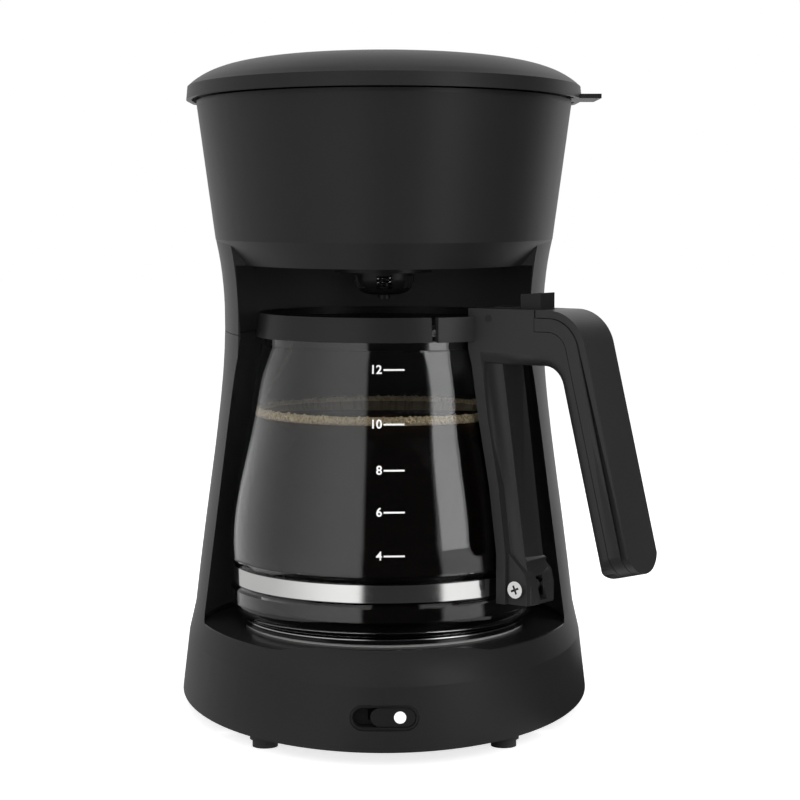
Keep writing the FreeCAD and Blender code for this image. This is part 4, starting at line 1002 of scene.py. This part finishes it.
@dataclass
class Studio:
    """Floor, white surroundings, soft lamps and the camera."""

    axis: Vector
    lens: float = 99.0
    eye: tuple[float, float, float] = (0.0002, -1.078, 0.2535)
    dip: float = 0.0888
    swing: float = 0.007
    ambient: float = 0.36
    whiteness: float = 0.74
    dark_from: float = -0.27
    dark_to: float = 2.4
    darkness: float = 0.97
    strip: tuple[float, float] = (0.70, 1.25)
    wing_shade: float = 0.45
    wing_from: tuple[float, float] = (0.5, 1.6)
    wing_to: tuple[float, float] = (2.4, 2.8)
    floor_half: float = 6.0
    aim: float = 0.16

    def mirrored(self, tree: Tree, way: Value) -> Value:
        """Give how bright the studio looks in a mirror.

        Args:
            tree: the tree that the nodes go into.
            way: the direction or place that is looked at.

        Returns:
            The level: white, dimmer to the left, with a dark stretch in front that a bright strip divides.
        """
        spot = tree.node("ShaderNodeSeparateXYZ", {}, {0: way}, "X")
        side = tree.node("ShaderNodeMath", {"operation": "ARCTAN2"}, {0: spot, 1: 0 - spot.out("Y")})
        dark = side.ease(self.dark_from - 0.04, self.dark_from + 0.04)
        dark = dark * (1 - side.ease(self.dark_to - 0.12, self.dark_to + 0.12))
        strip_low, strip_high = self.strip
        strip = side.ease(strip_low - 0.04, strip_low + 0.04)
        strip = strip * (1 - side.ease(strip_high - 0.03, strip_high + 0.03))
        left = 0 - side
        wings = left.ease(*self.wing_from) * (1 - left.ease(*self.wing_to))
        return (1 - self.darkness * dark * (1 - strip)) * (1 - self.wing_shade * wings)

    @staticmethod
    def mirror_ray(path: Value) -> Value:
        """Tell whether a ray comes from a reflection or through glass."""
        return (path.out("Is Glossy Ray") + path.out("Is Transmission Ray")) > 0.5

    def floor(self) -> None:
        """Lay the pale floor, which keeps the machine's shadow."""
        form = bmesh.new()
        bmesh.ops.create_grid(form, x_segments=1, y_segments=1, size=self.floor_half)
        piece = as_piece("floor", form)
        paper = bpy.data.materials.new("floor_paper")
        paper.use_nodes = True
        tree = Tree(paper.node_tree)
        fibre = tree.noise(tree.place(), 300.0)
        sheet = tree.node("ShaderNodeBsdfDiffuse", {}, {"Color": tree.blend(fibre, (0.78,) * 3, (0.82,) * 3)})
        seen = tree.node("ShaderNodeLightPath", out="Is Camera Ray")
        glow = tree.node("ShaderNodeEmission", {}, {"Color": WHITE, "Strength": self.whiteness * seen})
        lit = tree.node("ShaderNodeAddShader", {}, {0: sheet, 1: glow})
        level = self.mirrored(tree, tree.place(self.axis))
        shown = tree.node("ShaderNodeEmission", {}, {"Color": WHITE, "Strength": level})
        mirror = self.mirror_ray(seen) * (1 - seen)
        mixed = tree.node("ShaderNodeMixShader", {}, {0: mirror, 1: lit, 2: shown})
        tree.node("ShaderNodeOutputMaterial", {}, {"Surface": mixed})
        piece.data.materials.append(paper)

    def surroundings(self) -> None:
        """Make the world white to the eye and through glass, with a dark stretch for reflections in front."""
        world = bpy.data.worlds.new("studio")
        bpy.context.scene.world = world
        world.use_nodes = True
        tree = Tree(world.node_tree)
        path = tree.node("ShaderNodeLightPath", out="Is Camera Ray")
        mirrored = self.mirrored(tree, tree.node("ShaderNodeTexCoord", out="Generated"))
        mirror = self.mirror_ray(path)
        level = path + (1 - path) * (mirror * mirrored + (1 - mirror) * self.ambient)
        back = tree.node("ShaderNodeBackground", {}, {"Color": WHITE, "Strength": level})
        tree.node("ShaderNodeOutputWorld", {}, {"Surface": back})

    def lamps(self) -> None:
        """Hang the soft lamps."""
        target = self.axis + Vector((0, 0, self.aim))
        for lamp in (Softbox("left_softbox", self.axis + Vector((-1.5, -0.9, 0.75)), 1.3, 1.7, 10.0, False),
                     Softbox("right_softbox", self.axis + Vector((1.31, -0.92, 0.80)), 0.86, 1.7, 9.0, True),
                     Softbox("front_softbox", self.axis + Vector((0.25, -2.1, 0.75)), 1.4, 1.4, 18.0, False),
                     Softbox("top_softbox", self.axis + Vector((0.0, -0.3, 1.75)), 1.6, 1.3, 13.0, False)):
            lamp.build(target)

    def camera(self) -> None:
        """Set the camera where the photograph was taken from."""
        data = bpy.data.cameras.new("camera")
        data.lens = self.lens
        camera = bpy.data.objects.new("camera", data)
        camera.location = self.axis + Vector(self.eye)
        camera.rotation_euler = (math.pi / 2 - self.dip, 0.0, -self.swing)
        bpy.context.scene.collection.objects.link(camera)
        bpy.context.scene.camera = camera

    def build(self) -> None:
        """Set up the whole studio."""
        bpy.context.scene.view_settings.view_transform = "Standard"
        self.floor()
        self.surroundings()
        self.lamps()
        self.camera()


def upright_axis(node: str) -> Vector:
    """Find the upright axis of a round solid on the standing surface."""
    low, high = (Vector(corner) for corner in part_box(node))
    return Vector(((low.x + high.x) / 2, (low.y + high.y) / 2, 0.0))


def main(frame: Mapping[str, Any]) -> None:
    """Dress the machine, add what it holds and set up the studio.

    Args:
        frame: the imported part, as loaded.
    """
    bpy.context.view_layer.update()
    axis = upright_axis("warming_plate")
    machine = Machine(axis)
    machine.build(frame["record"], frame["nodes"])
    HeadRim(frame["nodes"]["head_housing"], axis).build()
    finishes = machine.finishes()
    Grip(axis, frame["nodes"], finishes[Slot.GRIP]).build()
    Spring(frame["nodes"]["drip_spring"], finishes[Slot.STEEL]).build()
    Carafe(axis, frame["nodes"]["carafe_glass"]).build()
    PlateRim(axis).build()
    ClampCross(axis).build()
    Studio(axis).build()


if __name__ == "__main__":
    logging.basicConfig(level=logging.INFO, format="%(name)s: %(message)s")
    main(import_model())
